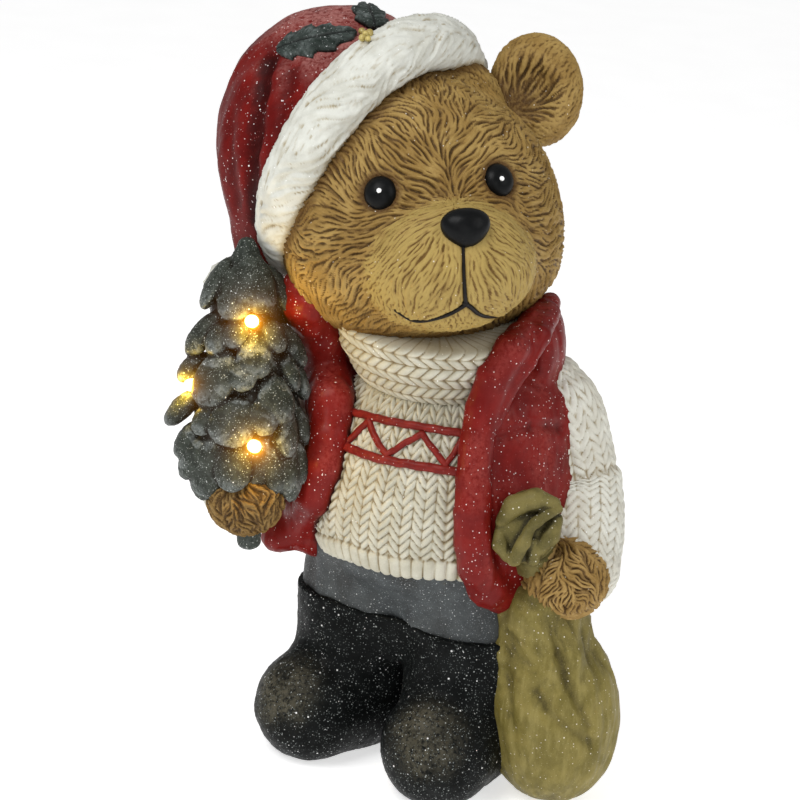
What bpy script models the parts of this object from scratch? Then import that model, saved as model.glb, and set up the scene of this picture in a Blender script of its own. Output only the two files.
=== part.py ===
# Christmas bear figurine with three small lamps.
#
# One casting: a standing teddy bear in a drooping hat, roll-neck sweater, open
# padded vest, trousers and boots. It holds a small fir tree in its right paw and
# a tied sack in its left paw; hat, clothes, tree and sack are all cast with it.
# Three 5 mm lamps sit in round sockets in the tree.
#
# Frame: metres, +Z up, the bear's body faces -Y, its left hand is at +X.
# The origin is under the middle of the figure, on the surface it stands on.
# All sculpted sizes below are in drawing units of 0.4 mm.

import bpy
import bmesh
import math
from mathutils import Matrix, Vector

UNIT = 0.0004                       # one drawing unit, in metres
PLAN_CENTRE = (-17.3, -34.5)          # middle of the figure's plan box, in units

# torso and clothes
BELLY_AT, BELLY_R = (0, -6, 275), (134, 128, 116)
CHEST_AT, CHEST_R = (-2, 4, 352), (112, 92, 84)
SWEATER_HEM_Z = 232
ROLL_NECK_AT, ROLL_NECK_R, ROLL_NECK_H = (-4, -16, 440), 84, 60
VEST_THICK = 16
VEST_HEM_Z = 198
VEST_SKIRT_AT, VEST_SKIRT_R = (-14, 0, 236), (156, 136, 60)
# the open front of the vest: height, edge on the bear's left, edge on its right (degrees from -Y)
VEST_OPENING = [(170, 68, -62), (204, 48, -48), (243, 35, -29), (300, 31, -20),
                (362, 31, -24), (403, 36, -47), (442, 60, -60), (480, 70, -70)]
COLLAR_AT, COLLAR_RING, COLLAR_THICK, COLLAR_TALL = (2, 2, 438), 104, 15, 34

# head
HEAD_AT = (-43, -18, 568)
HEAD_TURN = (39.7, 13.6, -5.9)      # turned to the bear's left, lifted, tilted (degrees)
HEAD_R, JOWL_R = (134, 118, 122), (128, 108, 84)
MUZZLE_R, SNOUT_R, NOSE_R, EYE_R = (85, 72, 60), (44, 40, 34), (24, 17, 20), 15
EAR_AT, EAR_TURN, EAR_R = (10, 108, 676), (27.0, 18.0, -5.0), (47, 30, 57)
EAR_HOLLOW_AT, EAR_HOLLOW_R = (23, 55, 689), 44

# hat
HAT_AXIS_TURN = (-103.0, 21.8)      # azimuth from -Y and elevation of the brim ring's axis
BRIM_AT, BRIM_RING, BRIM_R = (-99, 0, 598), 125, (29, 31)
CROWN_OUT, CROWN_R = 76, 118
CROWN_BULGE_AT, CROWN_BULGE_R = (-143, -2, 629), 116
TAIL = [(-186, -30, 581, 64), (-212, -50, 497, 34)]
POMPOM_AT, POMPOM_R = (-210, -71, 468), 34

# arms: shoulder, elbow, cuff, each with its radius
ARM_LEFT = [(108, 16, 384, 54), (132, 20, 292, 53), (158, -10, 258, 42)]
ARM_RIGHT = [(-110, 18, 374, 50), (-161, -57, 309, 50), (-165, -120, 270, 38)]
SLEEVE_BUNCH = [(-120, -34, 392, 42), (-148, -106, 372, 36)]
PAW_LEFT_AT, PAW_LEFT_R = (161, -39, 238), (42, 40, 40)
PAW_RIGHT_AT, PAW_RIGHT_R = (-129, -168, 284), (38, 36, 34)

# legs and boots
HIP_AT, HIP_R = (0, -4, 232), (122, 116, 52)
LEG_TOP_Z, LEG_LOW_Z, LEG_TOP_R, LEG_LOW_R = 215, 140, 80, 62
LEG_X = 58
BOOT_TALL = 158
BOOTS = [(-80, -84, -16), (70, -92, 4)]     # toe x, toe y, toe-out angle in degrees

# sack
SACK_AT, SACK_R = (158, -22, 74), (66, 62, 80)
SACK_NECK_AT, SACK_NECK_R = (141, -26, 199), 26
RUFFLE_AT, RUFFLE_R = (137, -84, 298), (32, 17, 38)

# tree and lamps
TREE_TOP, TREE_WAIST, TREE_LOW = (-180, -116, 530), (-166, -129, 461), (-143, -155, 339)
TREE_R = (8, 32, 52)
TRUNK = [(-132, -165, 303, 13), (-115, -177, 240, 11)]
# tiers of drooping boughs: share of the way from top to bottom, ring radius, bough size, count
TIERS = [(0.14, 20, 15, 5), (0.30, 30, 18, 6), (0.48, 40, 20, 8), (0.66, 46, 22, 9),
         (0.84, 50, 22, 9), (1.0, 46, 20, 8)]
LAMPS = [(-136, -167, 464), (-192, -182, 391), (-102, -204, 355)]
LAMP_D, LAMP_BARREL, LAMP_GAP = 0.0050, 0.0040, 0.0003

VOXEL = 0.0021
CAST_TRIANGLES = 8600


def clear():
    for ob in list(bpy.data.objects):
        bpy.data.objects.remove(ob, do_unlink=True)


def at(p):
    return Vector(((p[0] - PLAN_CENTRE[0]) * UNIT, (p[1] - PLAN_CENTRE[1]) * UNIT, p[2] * UNIT))


def turn(azimuth, elevation=0.0, roll=0.0):
    """Faces -Y towards azimuth (from -Y towards +X), lifted by elevation."""
    return (Matrix.Rotation(math.radians(azimuth), 3, 'Z')
            @ Matrix.Rotation(math.radians(-elevation), 3, 'X')
            @ Matrix.Rotation(math.radians(roll), 3, 'Y'))


def towards(direction, azimuth=0.0):
    """Local +Z along a direction."""
    return Vector(direction).normalized().to_track_quat('Z', 'Y').to_matrix() @ Matrix.Rotation(azimuth, 3, 'Z')


class Pile:
    """Overlapping closed shapes, gathered before they are merged into one casting."""

    def __init__(self):
        self.verts, self.faces = [], []

    def add(self, bm):
        base = len(self.verts)
        bm.verts.index_update()
        self.verts.extend(v.co.copy() for v in bm.verts)
        self.faces.extend([v.index + base for v in f.verts] for f in bm.faces)
        bm.free()


def ball(pile, centre, radii, rot=None, seg=24):
    if isinstance(radii, (int, float)):
        radii = (radii,) * 3
    m = Matrix.Translation(at(centre)) @ (rot or Matrix.Identity(3)).to_4x4()
    m = m @ Matrix.Diagonal([r * UNIT for r in radii] + [1.0])
    bm = bmesh.new()
    bmesh.ops.create_uvsphere(bm, u_segments=seg, v_segments=max(8, seg // 2), radius=1.0, matrix=m)
    pile.add(bm)


def limb(pile, a, b, seg=24):
    """Two balls and the cone between them; a and b are (x, y, z, radius)."""
    ball(pile, a[:3], a[3], seg=seg)
    ball(pile, b[:3], b[3], seg=seg)
    pa, pb = at(a[:3]), at(b[:3])
    axis = pb - pa
    lean = (a[3] - b[3]) * UNIT / axis.length          # cone that is tangent to both balls
    side = math.sqrt(max(0.0, 1.0 - lean * lean))
    ca, cb = pa + axis.normalized() * a[3] * UNIT * lean, pb + axis.normalized() * b[3] * UNIT * lean
    m = Matrix.Translation((ca + cb) / 2) @ towards(axis).to_4x4()
    bm = bmesh.new()
    bmesh.ops.create_cone(bm, cap_ends=True, segments=seg, radius1=a[3] * UNIT * side,
                          radius2=b[3] * UNIT * side, depth=(cb - ca).length, matrix=m)
    pile.add(bm)


def ring(pile, centre, rot, ring_r, radial, axial, start=0.0, stop=360.0, tilt=0.0, seg=14):
    """A padded ring or part of one, as a close row of balls; 0 degrees is local -Y."""
    step = math.degrees(radial * 0.7 / ring_r)
    count = max(3, int(abs(stop - start) / step))
    c = Vector(centre)
    for i in range(count + (0 if stop - start >= 360 else 1)):
        a = math.radians(start + (stop - start) * i / count)
        spot = rot @ Vector((math.sin(a) * ring_r, -math.cos(a) * ring_r, 0.0))
        local = rot @ Matrix.Rotation(a, 3, 'Z') @ Matrix.Rotation(math.radians(tilt), 3, 'X')
        ball(pile, c + spot, (radial * 1.05, radial, axial), local, seg)


def collection(name):
    col = bpy.data.collections.new(name)
    bpy.context.scene.collection.children.link(col)
    return col


def material(name, colour, roughness, metallic=0.0, glow=0.0):
    mat = bpy.data.materials.new(name)
    mat.use_nodes = True
    bsdf = mat.node_tree.nodes["Principled BSDF"]
    bsdf.inputs["Base Color"].default_value = (*colour, 1.0)
    bsdf.inputs["Roughness"].default_value = roughness
    bsdf.inputs["Metallic"].default_value = metallic
    if glow:
        bsdf.inputs["Emission Color"].default_value = (*colour, 1.0)
        bsdf.inputs["Emission Strength"].default_value = glow
    return mat


def make(shape, name, col, mat=None):
    mesh = bpy.data.meshes.new(name)
    if isinstance(shape, Pile):
        mesh.from_pydata(shape.verts, [], shape.faces)
    else:
        shape.to_mesh(mesh)
        shape.free()
    ob = bpy.data.objects.new(name, mesh)
    col.objects.link(ob)
    if mat:
        mesh.materials.append(mat)
    return ob


def as_guide(ob):
    ob.hide_render = True
    ob.display_type = 'WIRE'
    return ob


def remesh(ob, size):
    mod = ob.modifiers.new("Merge", 'REMESH')
    mod.mode = 'VOXEL'
    mod.voxel_size = size
    mod.adaptivity = 0.0


def subtract(ob, cutter, name="Cut"):
    mod = ob.modifiers.new(name, 'BOOLEAN')
    mod.operation = 'DIFFERENCE'
    mod.solver = 'EXACT'
    mod.object = cutter


def add_evaluated(pile, ob):
    """Adds an object's finished mesh, in world space, to a pile."""
    deps = bpy.context.evaluated_depsgraph_get()
    mesh = bpy.data.meshes.new_from_object(ob.evaluated_get(deps))
    mesh.transform(ob.matrix_world)
    bm = bmesh.new()
    bm.from_mesh(mesh)
    pile.add(bm)
    bpy.data.meshes.remove(mesh)


def box_cutter(name, col, low, high):
    bm = bmesh.new()
    size = [h - l for l, h in zip(low, high)]
    mid = [(h + l) / 2 for l, h in zip(low, high)]
    bmesh.ops.create_cube(bm, size=1.0, matrix=Matrix.Translation(at(mid)) @ Matrix.Diagonal([s * UNIT for s in size] + [1.0]))
    return as_guide(make(bm, name, col))


def opening_cutter(name, col):
    """The wedge of air between the vest's two front edges, lofted up through its heights."""
    bm = bmesh.new()
    rows = []
    for z, left, right in VEST_OPENING:
        l, r = math.radians(left), math.radians(right)
        far = 330
        pts = [(0, -6, z), (math.sin(r) * far, -math.cos(r) * far, z), (math.sin(l) * far, -math.cos(l) * far, z)]
        rows.append([bm.verts.new(at(p)) for p in pts])
    for low, high in zip(rows, rows[1:]):
        for i in range(3):
            j = (i + 1) % 3
            bm.faces.new((low[i], low[j], high[j], high[i]))
    bm.faces.new(reversed(rows[0]))
    bm.faces.new(rows[-1])
    bmesh.ops.recalc_face_normals(bm, faces=bm.faces)
    return as_guide(make(bm, name, col))


def torso_balls(pile, grow):
    ball(pile, BELLY_AT, [r + grow for r in BELLY_R], seg=40)
    ball(pile, CHEST_AT, [r + grow for r in CHEST_R], seg=36)
    mid = [(a + b) / 2 for a, b in zip(BELLY_AT, CHEST_AT)]
    ball(pile, mid, [(a + b) / 2 + grow + 5 for a, b in zip(BELLY_R, CHEST_R)], seg=36)


def vest(cutters):
    pile = Pile()
    torso_balls(pile, VEST_THICK)
    ball(pile, VEST_SKIRT_AT, VEST_SKIRT_R, seg=36)
    form = as_guide(make(pile, "vest_form", cutters))
    remesh(form, VOXEL * 1.3)
    subtract(form, opening_cutter("vest_opening", cutters), "Open front")
    subtract(form, box_cutter("vest_below", cutters, (-260, -260, 60), (260, 260, VEST_HEM_Z)), "Hem")
    return form


def ear(cutters):
    pile = Pile()
    ball(pile, EAR_AT, EAR_R, turn(*EAR_TURN), 32)
    form = as_guide(make(pile, "ear_form", cutters))
    pile = Pile()
    ball(pile, EAR_HOLLOW_AT, EAR_HOLLOW_R, seg=28)
    subtract(form, as_guide(make(pile, "ear_hollow", cutters)), "Hollow")
    return form


def head(pile):
    rot = turn(*HEAD_TURN)
    spot = lambda x, y, z: Vector(HEAD_AT) + rot @ Vector((x, y, z))
    ball(pile, HEAD_AT, HEAD_R, rot, 40)
    ball(pile, spot(0, -10, -46), JOWL_R, rot, 36)
    ball(pile, spot(2, -100, -56), MUZZLE_R, rot, 32)
    ball(pile, spot(0, -128, -40), SNOUT_R, rot)
    ball(pile, spot(1, -166, -17), NOSE_R, rot)
    for side in (-1, 1):
        ball(pile, spot(60 * side, -101, 19), EYE_R, seg=16)


def hat(pile):
    az, el = (math.radians(a) for a in HAT_AXIS_TURN)
    axis = Vector((math.sin(az) * math.cos(el), -math.cos(az) * math.cos(el), math.sin(el)))
    ring(pile, BRIM_AT, towards(axis), BRIM_RING, *BRIM_R)
    ball(pile, Vector(HEAD_AT) + axis * CROWN_OUT, CROWN_R, seg=40)
    ball(pile, CROWN_BULGE_AT, CROWN_BULGE_R, seg=40)
    limb(pile, *TAIL)
    ball(pile, POMPOM_AT, POMPOM_R)
    # two holly leaves, lying on the crown beside the brim
    for way, heading in (((-0.02, -0.62, 0.78), 0.2), ((0.30, -0.28, 0.91), 1.0)):
        way = Vector(way).normalized()
        ball(pile, Vector(CROWN_BULGE_AT) + way * (CROWN_BULGE_R + 1), (36, 15, 5), towards(way, heading), 16)


def clothes(pile, cutters):
    torso_balls(pile, 0)
    add_evaluated(pile, vest(cutters))
    ring(pile, COLLAR_AT, turn(0, -10), COLLAR_RING, COLLAR_THICK, COLLAR_TALL, 62, 290)
    rot = turn(0, -9)
    for k in range(4):                                  # roll-neck, wider towards the chin
        up = -ROLL_NECK_H / 2 + ROLL_NECK_H * (k + 0.5) / 4
        c = Vector(ROLL_NECK_AT) + rot @ Vector((0, 0, up))
        ring(pile, c, rot, ROLL_NECK_R - 16 + 0.42 * up, 17, 13)
    ball(pile, ROLL_NECK_AT, (70, 66, 40))
    ring(pile, (BELLY_AT[0], BELLY_AT[1], SWEATER_HEM_Z + 10), Matrix.Identity(3), 118, 13, 13)
    for arm in (ARM_LEFT, ARM_RIGHT):
        limb(pile, arm[0], arm[1])
        limb(pile, arm[1], arm[2])
    limb(pile, *SLEEVE_BUNCH)                             # right sleeve bunched up behind the tree


def paws(pile):
    ball(pile, PAW_LEFT_AT, PAW_LEFT_R)
    ball(pile, PAW_RIGHT_AT, PAW_RIGHT_R)
    for k in range(4):                                  # finger pads round the trunk and the sack's neck
        a = k / 3 - 0.5
        ball(pile, (PAW_RIGHT_AT[0] + 14, PAW_RIGHT_AT[1] - 14, PAW_RIGHT_AT[2] + 38 * a), (22, 22, 10), seg=14)
        ball(pile, (PAW_LEFT_AT[0] - 20, PAW_LEFT_AT[1] - 16, PAW_LEFT_AT[2] + 44 * a), (22, 22, 11), seg=14)


def legs(pile):
    ball(pile, HIP_AT, HIP_R, seg=32)
    for side in (-1, 1):
        limb(pile, (LEG_X * side, 0, LEG_LOW_Z, LEG_LOW_R), (46 * side, -4, LEG_TOP_Z, LEG_TOP_R))
    for x, y, toe_out in BOOTS:
        rot = turn(toe_out)
        ahead = rot @ Vector((0, -1, 0))
        spot = lambda d, z: Vector((x, y, z)) + ahead * d
        ball(pile, spot(4, 50), (59, 60, 58), rot, 32)
        ball(pile, spot(-30, 48), (56, 58, 54), rot, 28)
        ball(pile, spot(-60, 42), (50, 56, 52), rot, 28)
        ankle, top = spot(-56, 60), spot(-66, BOOT_TALL - 12)
        limb(pile, (*ankle, 62), (*top, 65))
        ring(pile, (top[0], top[1], BOOT_TALL - 6), Matrix.Identity(3), 60, 12, 12)


def sack(pile):
    ball(pile, SACK_AT, SACK_R, seg=36)
    limb(pile, (SACK_AT[0], SACK_AT[1], 110, 50), (*SACK_NECK_AT, SACK_NECK_R), 28)
    neck, base = Vector(SACK_NECK_AT), Vector(SACK_AT)
    for k in range(9):                                  # gathers running down from the paw
        a = math.radians(40 * k + 10)
        out = Vector((math.cos(a), math.sin(a), 0))
        top, low = neck + out * 22, base + out * 55 + Vector((0, 0, 24))
        limb(pile, (*top, 7), (*low, 12), 10)
    rot = turn(20, 14, 15)
    for k in range(9):                                  # pleated top of the sack above the paw
        a = math.radians(-150 + 300 * k / 8)
        spot = rot @ Vector((math.sin(a) * 17, 0, math.cos(a) * 20))
        ball(pile, Vector(RUFFLE_AT) + spot, (11, 14, 19), rot @ Matrix.Rotation(a, 3, 'Y'), 12)
    limb(pile, (*(Vector(RUFFLE_AT) + Vector((2, 6, -4))), 15), (*(Vector(PAW_LEFT_AT) + Vector((-4, 0, 4))), 22), 16)


def tree(pile):
    top, waist, low = (Vector(p) for p in (TREE_TOP, TREE_WAIST, TREE_LOW))
    limb(pile, (*top, TREE_R[0]), (*waist, TREE_R[1]), 16)
    limb(pile, (*waist, TREE_R[1]), (*low, TREE_R[2]), 24)
    limb(pile, *TRUNK, 14)
    axis = (low - top).normalized()
    across = axis.cross(Vector((0, 0, 1))).normalized()
    across = Matrix.Rotation(0.3, 3, axis) @ across
    side = axis.cross(across)
    for row, (share, ring_r, size, count) in enumerate(TIERS):
        mid = top.lerp(low, share)
        for k in range(count):
            a = math.tau * (k + 0.5 * (row % 2)) / count
            out = across * math.cos(a) + side * math.sin(a)
            droop = (out + axis * 1.5).normalized()     # boughs hang outward and down
            ball(pile, mid + out * ring_r, (size * 0.72, size * 0.62, size * 1.25), towards(droop), 14)


def lamp_frame(p):
    """Outward direction of a lamp, square to the tree's axis."""
    top, low = Vector(TREE_TOP), Vector(TREE_LOW)
    axis = (low - top).normalized()
    foot = top + axis * (Vector(p) - top).dot(axis)
    return (Vector(p) - foot).normalized()


def main():
    clear()
    body_col = collection("led_christmas_bear_figurine")
    cutters = collection("cutters")

    pile = Pile()
    clothes(pile, cutters)
    add_evaluated(pile, ear(cutters))
    head(pile)
    hat(pile)
    paws(pile)
    legs(pile)
    sack(pile)
    tree(pile)
    bear = make(pile, "bear", body_col, material("painted_resin", (0.42, 0.27, 0.12), 0.6))
    remesh(bear, VOXEL)
    soften = bear.modifiers.new("Soften", 'SMOOTH')
    soften.factor, soften.iterations = 0.5, 2
    thin = bear.modifiers.new("Thin", 'DECIMATE')
    thin.ratio = 1.0
    deps = bpy.context.evaluated_depsgraph_get()
    dense = bear.evaluated_get(deps).to_mesh()
    thin.ratio = CAST_TRIANGLES / sum(len(p.vertices) - 2 for p in dense.polygons)

    subtract(bear, box_cutter("ground", cutters, (-500, -500, -200), (500, 500, 0)), "Flat base")
    lens = material("warm_lens", (1.0, 0.72, 0.22), 0.15, glow=2.0)
    r, gap = LAMP_D / 2, LAMP_GAP
    for i, p in enumerate(LAMPS):
        out = lamp_frame(p)
        rot = towards(out)
        foot = at(p) - out * LAMP_BARREL                # bottom of the lamp's barrel
        bm = bmesh.new()
        depth = 0.040
        bmesh.ops.create_cone(bm, cap_ends=True, segments=28, radius1=r + gap, radius2=r + gap, depth=depth,
                              matrix=Matrix.Translation(foot + out * (depth / 2 - gap)) @ rot.to_4x4())
        subtract(bear, as_guide(make(bm, "socket_%d" % (i + 1), cutters)), "Socket %d" % (i + 1))

        # lamp: domed lens on a straight barrel, turned about its own axis
        arc = 6
        profile = [(r * math.sin(math.pi / 2 * k / arc), LAMP_BARREL + r * math.cos(math.pi / 2 * k / arc))
                   for k in range(arc + 1)] + [(r, 0.0004), (r - 0.0004, 0.0), (0.0, 0.0)]
        bm = bmesh.new()
        verts = [bm.verts.new((x, 0.0, z)) for x, z in profile]
        for a, b in zip(verts, verts[1:]):
            bm.edges.new((a, b))
        led = make(bm, "led_%d" % (i + 1), body_col, lens)
        led.location = foot
        led.rotation_euler = rot.to_euler()
        screw = led.modifiers.new("Turn", 'SCREW')
        screw.steps = screw.render_steps = 20
        screw.use_merge_vertices = True
        screw.merge_threshold = 0.00001
        screw.use_smooth_shade = True


main()
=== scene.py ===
import math
import bpy
import numpy as np
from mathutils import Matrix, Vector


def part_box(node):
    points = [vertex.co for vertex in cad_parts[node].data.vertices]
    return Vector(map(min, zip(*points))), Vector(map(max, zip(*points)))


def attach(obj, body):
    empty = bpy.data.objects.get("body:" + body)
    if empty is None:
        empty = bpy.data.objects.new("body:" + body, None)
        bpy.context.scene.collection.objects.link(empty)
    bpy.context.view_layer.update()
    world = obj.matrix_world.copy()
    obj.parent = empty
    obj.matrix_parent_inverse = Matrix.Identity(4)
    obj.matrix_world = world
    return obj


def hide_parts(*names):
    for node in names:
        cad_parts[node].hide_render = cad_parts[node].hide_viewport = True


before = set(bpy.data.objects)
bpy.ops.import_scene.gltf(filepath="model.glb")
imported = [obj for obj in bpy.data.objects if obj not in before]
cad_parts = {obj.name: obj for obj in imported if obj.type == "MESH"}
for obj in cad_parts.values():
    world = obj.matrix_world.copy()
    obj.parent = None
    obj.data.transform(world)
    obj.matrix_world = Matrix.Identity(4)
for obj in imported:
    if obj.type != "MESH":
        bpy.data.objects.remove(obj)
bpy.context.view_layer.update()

# Drawing units: one unit is 0.4 mm. The figure is drawn round its own axis and moved to the middle of its plan box.
UNIT = 0.0004
PLAN_CENTRE = np.array([-17.3, -34.5, 0.0])


def metres(p):
    return (np.asarray(p, float) - PLAN_CENTRE) * UNIT


# ------------------------------------------------------------------ viewing direction
VIEW_AZ, VIEW_EL, VIEW_ROLL = math.radians(27.0), math.radians(18.0), math.radians(5.0)
VIEW_DIST = 2500.0
TARGET = np.array([-50 * math.cos(VIEW_AZ), -50 * math.sin(VIEW_AZ), 370.0])
B = np.array([math.sin(VIEW_AZ) * math.cos(VIEW_EL), -math.cos(VIEW_AZ) * math.cos(VIEW_EL), math.sin(VIEW_EL)])
_r = np.array([math.cos(VIEW_AZ), math.sin(VIEW_AZ), 0.0])
_u = np.cross(B, _r)
R = math.cos(VIEW_ROLL) * _r + math.sin(VIEW_ROLL) * _u
U = math.cos(VIEW_ROLL) * _u - math.sin(VIEW_ROLL) * _r
C3 = np.stack([R, U, B], 1)
EYE = TARGET + VIEW_DIST * B


def P(px, py, q):
    """point seen at px, py that lies q units nearer than the target plane"""
    d = (px - 400) / VIEW_DIST * R - (py - 400) / VIEW_DIST * U - B
    return EYE + d * (VIEW_DIST - q)


def sight(px, py, f, start=330.0, fallback=None):
    """where the line of sight at px, py meets the surface f = 0"""
    d = (px - 400) / VIEW_DIST * R - (py - 400) / VIEW_DIST * U - B
    d = d / np.linalg.norm(d)
    t = VIEW_DIST - start
    best = (1e9, t)
    for _ in range(160):
        v = float(f((EYE + d * t)[None])[0])
        if v < best[0]:
            best = (v, t)
        if v < 0.02:
            break
        t += max(v * 0.8, 0.05)
        if t > VIEW_DIST + 330:
            t = best[1]
            break
    return EYE + d * t


# ------------------------------------------------------------------ shapes as distances
def ln(v):
    return np.sqrt((v * v).sum(-1))


def unit(v):
    v = np.asarray(v, float)
    return v / np.maximum(np.linalg.norm(v, axis=-1, keepdims=True), 1e-9)


def axes(ax, up=(0, 0, 1)):
    z = unit(ax)
    x = np.cross(up, z)
    if np.linalg.norm(x) < 1e-6:
        x = np.array([1.0, 0, 0])
    x = unit(x)
    return np.stack([x, np.cross(z, x), z], 1)


def ell(p, c, r, M=None):
    q = p - np.asarray(c, float)
    if M is not None:
        q = q @ M
    r = np.asarray(r, float)
    k0 = ln(q / r)
    k1 = ln(q / (r * r))
    return k0 * (k0 - 1) / np.maximum(k1, 1e-9)


def sph(p, c, r):
    return ln(p - np.asarray(c, float)) - r


def rcone(p, a, b, ra, rb):
    a = np.asarray(a, float)
    b = np.asarray(b, float)
    ba = b - a
    l2 = ba @ ba
    rr = ra - rb
    a2 = l2 - rr * rr
    il2 = 1 / l2
    pa = p - a
    y = pa @ ba
    z = y - l2
    x2 = ((pa * l2 - y[..., None] * ba) ** 2).sum(-1)
    y2 = y * y * l2
    z2 = z * z * l2
    k = np.sign(rr) * rr * rr * x2
    out = (np.sqrt(x2 * a2 * il2) + y * rr) * il2 - ra
    m1 = np.sign(z) * a2 * z2 > k
    m2 = np.sign(y) * a2 * y2 < k
    out = np.where(m2, np.sqrt(x2 + y2) * il2 - ra, out)
    return np.where(m1, np.sqrt(x2 + z2) * il2 - rb, out)


def chain(p, pts, rad, k=0.0):
    d = None
    for i in range(len(pts) - 1):
        e = rcone(p, pts[i], pts[i + 1], rad[i], rad[i + 1])
        d = e if d is None else (np.minimum(d, e) if k == 0 else smin(d, e, k))
    return d


def torus(p, c, M, ring, r, ra=None):
    q = (p - np.asarray(c, float)) @ M
    rho = np.sqrt(q[..., 0] ** 2 + q[..., 1] ** 2) - ring
    if ra is None:
        return np.sqrt(rho ** 2 + q[..., 2] ** 2) - r
    k0 = np.sqrt((rho / r) ** 2 + (q[..., 2] / ra) ** 2)
    k1 = np.sqrt((rho / r ** 2) ** 2 + (q[..., 2] / ra ** 2) ** 2)
    return k0 * (k0 - 1) / np.maximum(k1, 1e-9)


def smin(a, b, k):
    h = np.maximum(k - np.abs(a - b), 0) / k
    return np.minimum(a, b) - h * h * k * 0.25


def smax(a, b, k):
    return -smin(-a, -b, k)


def step(a, b, x):
    t = np.clip((x - a) / (b - a), 0, 1)
    return t * t * (3 - 2 * t)


def grad(f, p, e=0.6):
    g = np.zeros_like(p)
    for s in ((1, -1, -1), (-1, -1, 1), (-1, 1, -1), (1, 1, 1)):
        s = np.array(s, float)
        g += s * f(p + s * e)[:, None]
    return g / (4 * e)


def seg_dist(p, pts):
    """distance to a line of points, and how far along it (0 to 1)"""
    pts = np.asarray(pts, float)
    best = np.full(len(p), 1e9)
    along = np.zeros(len(p))
    n = len(pts) - 1
    for i in range(n):
        a, b = pts[i], pts[i + 1]
        ab = b - a
        t = np.clip(((p - a) @ ab) / (ab @ ab), 0, 1)
        d = ln(p - a - t[:, None] * ab)
        m = d < best
        best = np.where(m, d, best)
        along = np.where(m, (i + t) / n, along)
    return best, along


# ------------------------------------------------------------------ noise
TABLE = np.random.default_rng(11).random(48 ** 3)


def vnoise(p, cell, off=0.0):
    q = p / cell + off + 1000.0
    i = np.floor(q).astype(np.int64)
    f = q - i
    f = f * f * (3 - 2 * f)
    i0 = i % 48
    i1 = (i + 1) % 48
    x0, x1 = i0[:, 0] * 2304, i1[:, 0] * 2304
    y0, y1 = i0[:, 1] * 48, i1[:, 1] * 48
    z0, z1 = i0[:, 2], i1[:, 2]
    fx, fy, fz = f[:, 0], f[:, 1], f[:, 2]
    a = TABLE[x0 + y0 + z0] * (1 - fx) + TABLE[x1 + y0 + z0] * fx
    b = TABLE[x0 + y1 + z0] * (1 - fx) + TABLE[x1 + y1 + z0] * fx
    c = TABLE[x0 + y0 + z1] * (1 - fx) + TABLE[x1 + y0 + z1] * fx
    d = TABLE[x0 + y1 + z1] * (1 - fx) + TABLE[x1 + y1 + z1] * fx
    return (a * (1 - fy) + b * fy) * (1 - fz) + (c * (1 - fy) + d * fy) * fz


def fbm(p, cell, off=0.0, octaves=3):
    v, w, s = 0.0, 1.0, 0.0
    for k in range(octaves):
        v = v + w * vnoise(p, cell / 2 ** k, off + 3.7 * k)
        s += w
        w *= 0.5
    return v / s


def strands(p, flow, cell, half, off=0.0, n=6):
    """noise drawn out along a flow, as carved strands; mean 0 and spread 1"""
    acc = vnoise(p, cell, off)
    for sgn in (1.0, -1.0):
        q = p.copy()
        for i in range(1, n + 1):
            q = q + sgn * flow(q) * (half / n)
            acc = acc + math.cos(math.pi / 2 * i / (n + 1)) * vnoise(q, cell, off)
    return (acc - acc.mean()) / (acc.std() + 1e-9)


def carved(p, flow, normal, gap, half, off=0.0, n=6, cell=None):
    """strands with an even spacing: the drawn-out noise less that of its neighbours half a gap to each side"""
    w = np.cross(normal, flow(p)) * (gap * 0.5)
    cell = cell or gap * 0.46
    acc = 0.0
    for k, sh in ((1.0, 0.0), (-0.5, 1.0), (-0.5, -1.0)):
        b = p + w * sh
        e = vnoise(b, cell, off)
        for sgn in (1.0, -1.0):
            q = b.copy()
            for i in range(1, n + 1):
                q = q + sgn * flow(q) * (half / n)
                e = e + math.cos(math.pi / 2 * i / (n + 1)) * vnoise(q, cell, off)
        acc = acc + k * e
    return acc / (acc.std() + 1e-9)


# ------------------------------------------------------------------ mesh making
SHOWN = []


def put(name, verts, faces, mat, shown="bear", **attrs):
    """one closed piece from arrays of points and faces"""
    faces = [np.asarray(f) for f in (faces if isinstance(faces, list) else [faces]) if len(f)]
    vol = 0.0
    for f in faces:
        for k in range(1, f.shape[1] - 1):
            vol += (verts[f[:, 0]] * np.cross(verts[f[:, k]], verts[f[:, k + 1]])).sum()
    if vol < 0:
        faces = [f[:, ::-1] for f in faces]
    me = bpy.data.meshes.new(name)
    me.vertices.add(len(verts))
    me.vertices.foreach_set("co", metres(verts).astype(np.float32).ravel())
    loops = np.concatenate([f.ravel() for f in faces])
    sizes = np.concatenate([np.full(len(f), f.shape[1]) for f in faces])
    me.loops.add(len(loops))
    me.loops.foreach_set("vertex_index", loops.astype(np.int32))
    me.polygons.add(len(sizes))
    me.polygons.foreach_set("loop_start", (np.cumsum(sizes) - sizes).astype(np.int32))
    me.polygons.foreach_set("use_smooth", np.ones(len(sizes), bool))
    me.update(calc_edges=True)
    for k, v in attrs.items():
        a = me.attributes.new(k, "FLOAT", "POINT")
        a.data.foreach_set("value", np.broadcast_to(v, (len(verts),)).astype(np.float32))
    me.materials.append(mat)
    o = bpy.data.objects.new(name, me)
    bpy.context.scene.collection.objects.link(o)
    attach(o, "root")
    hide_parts(shown)
    SHOWN.append((name, int((sizes - 2).sum())))
    return o


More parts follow.
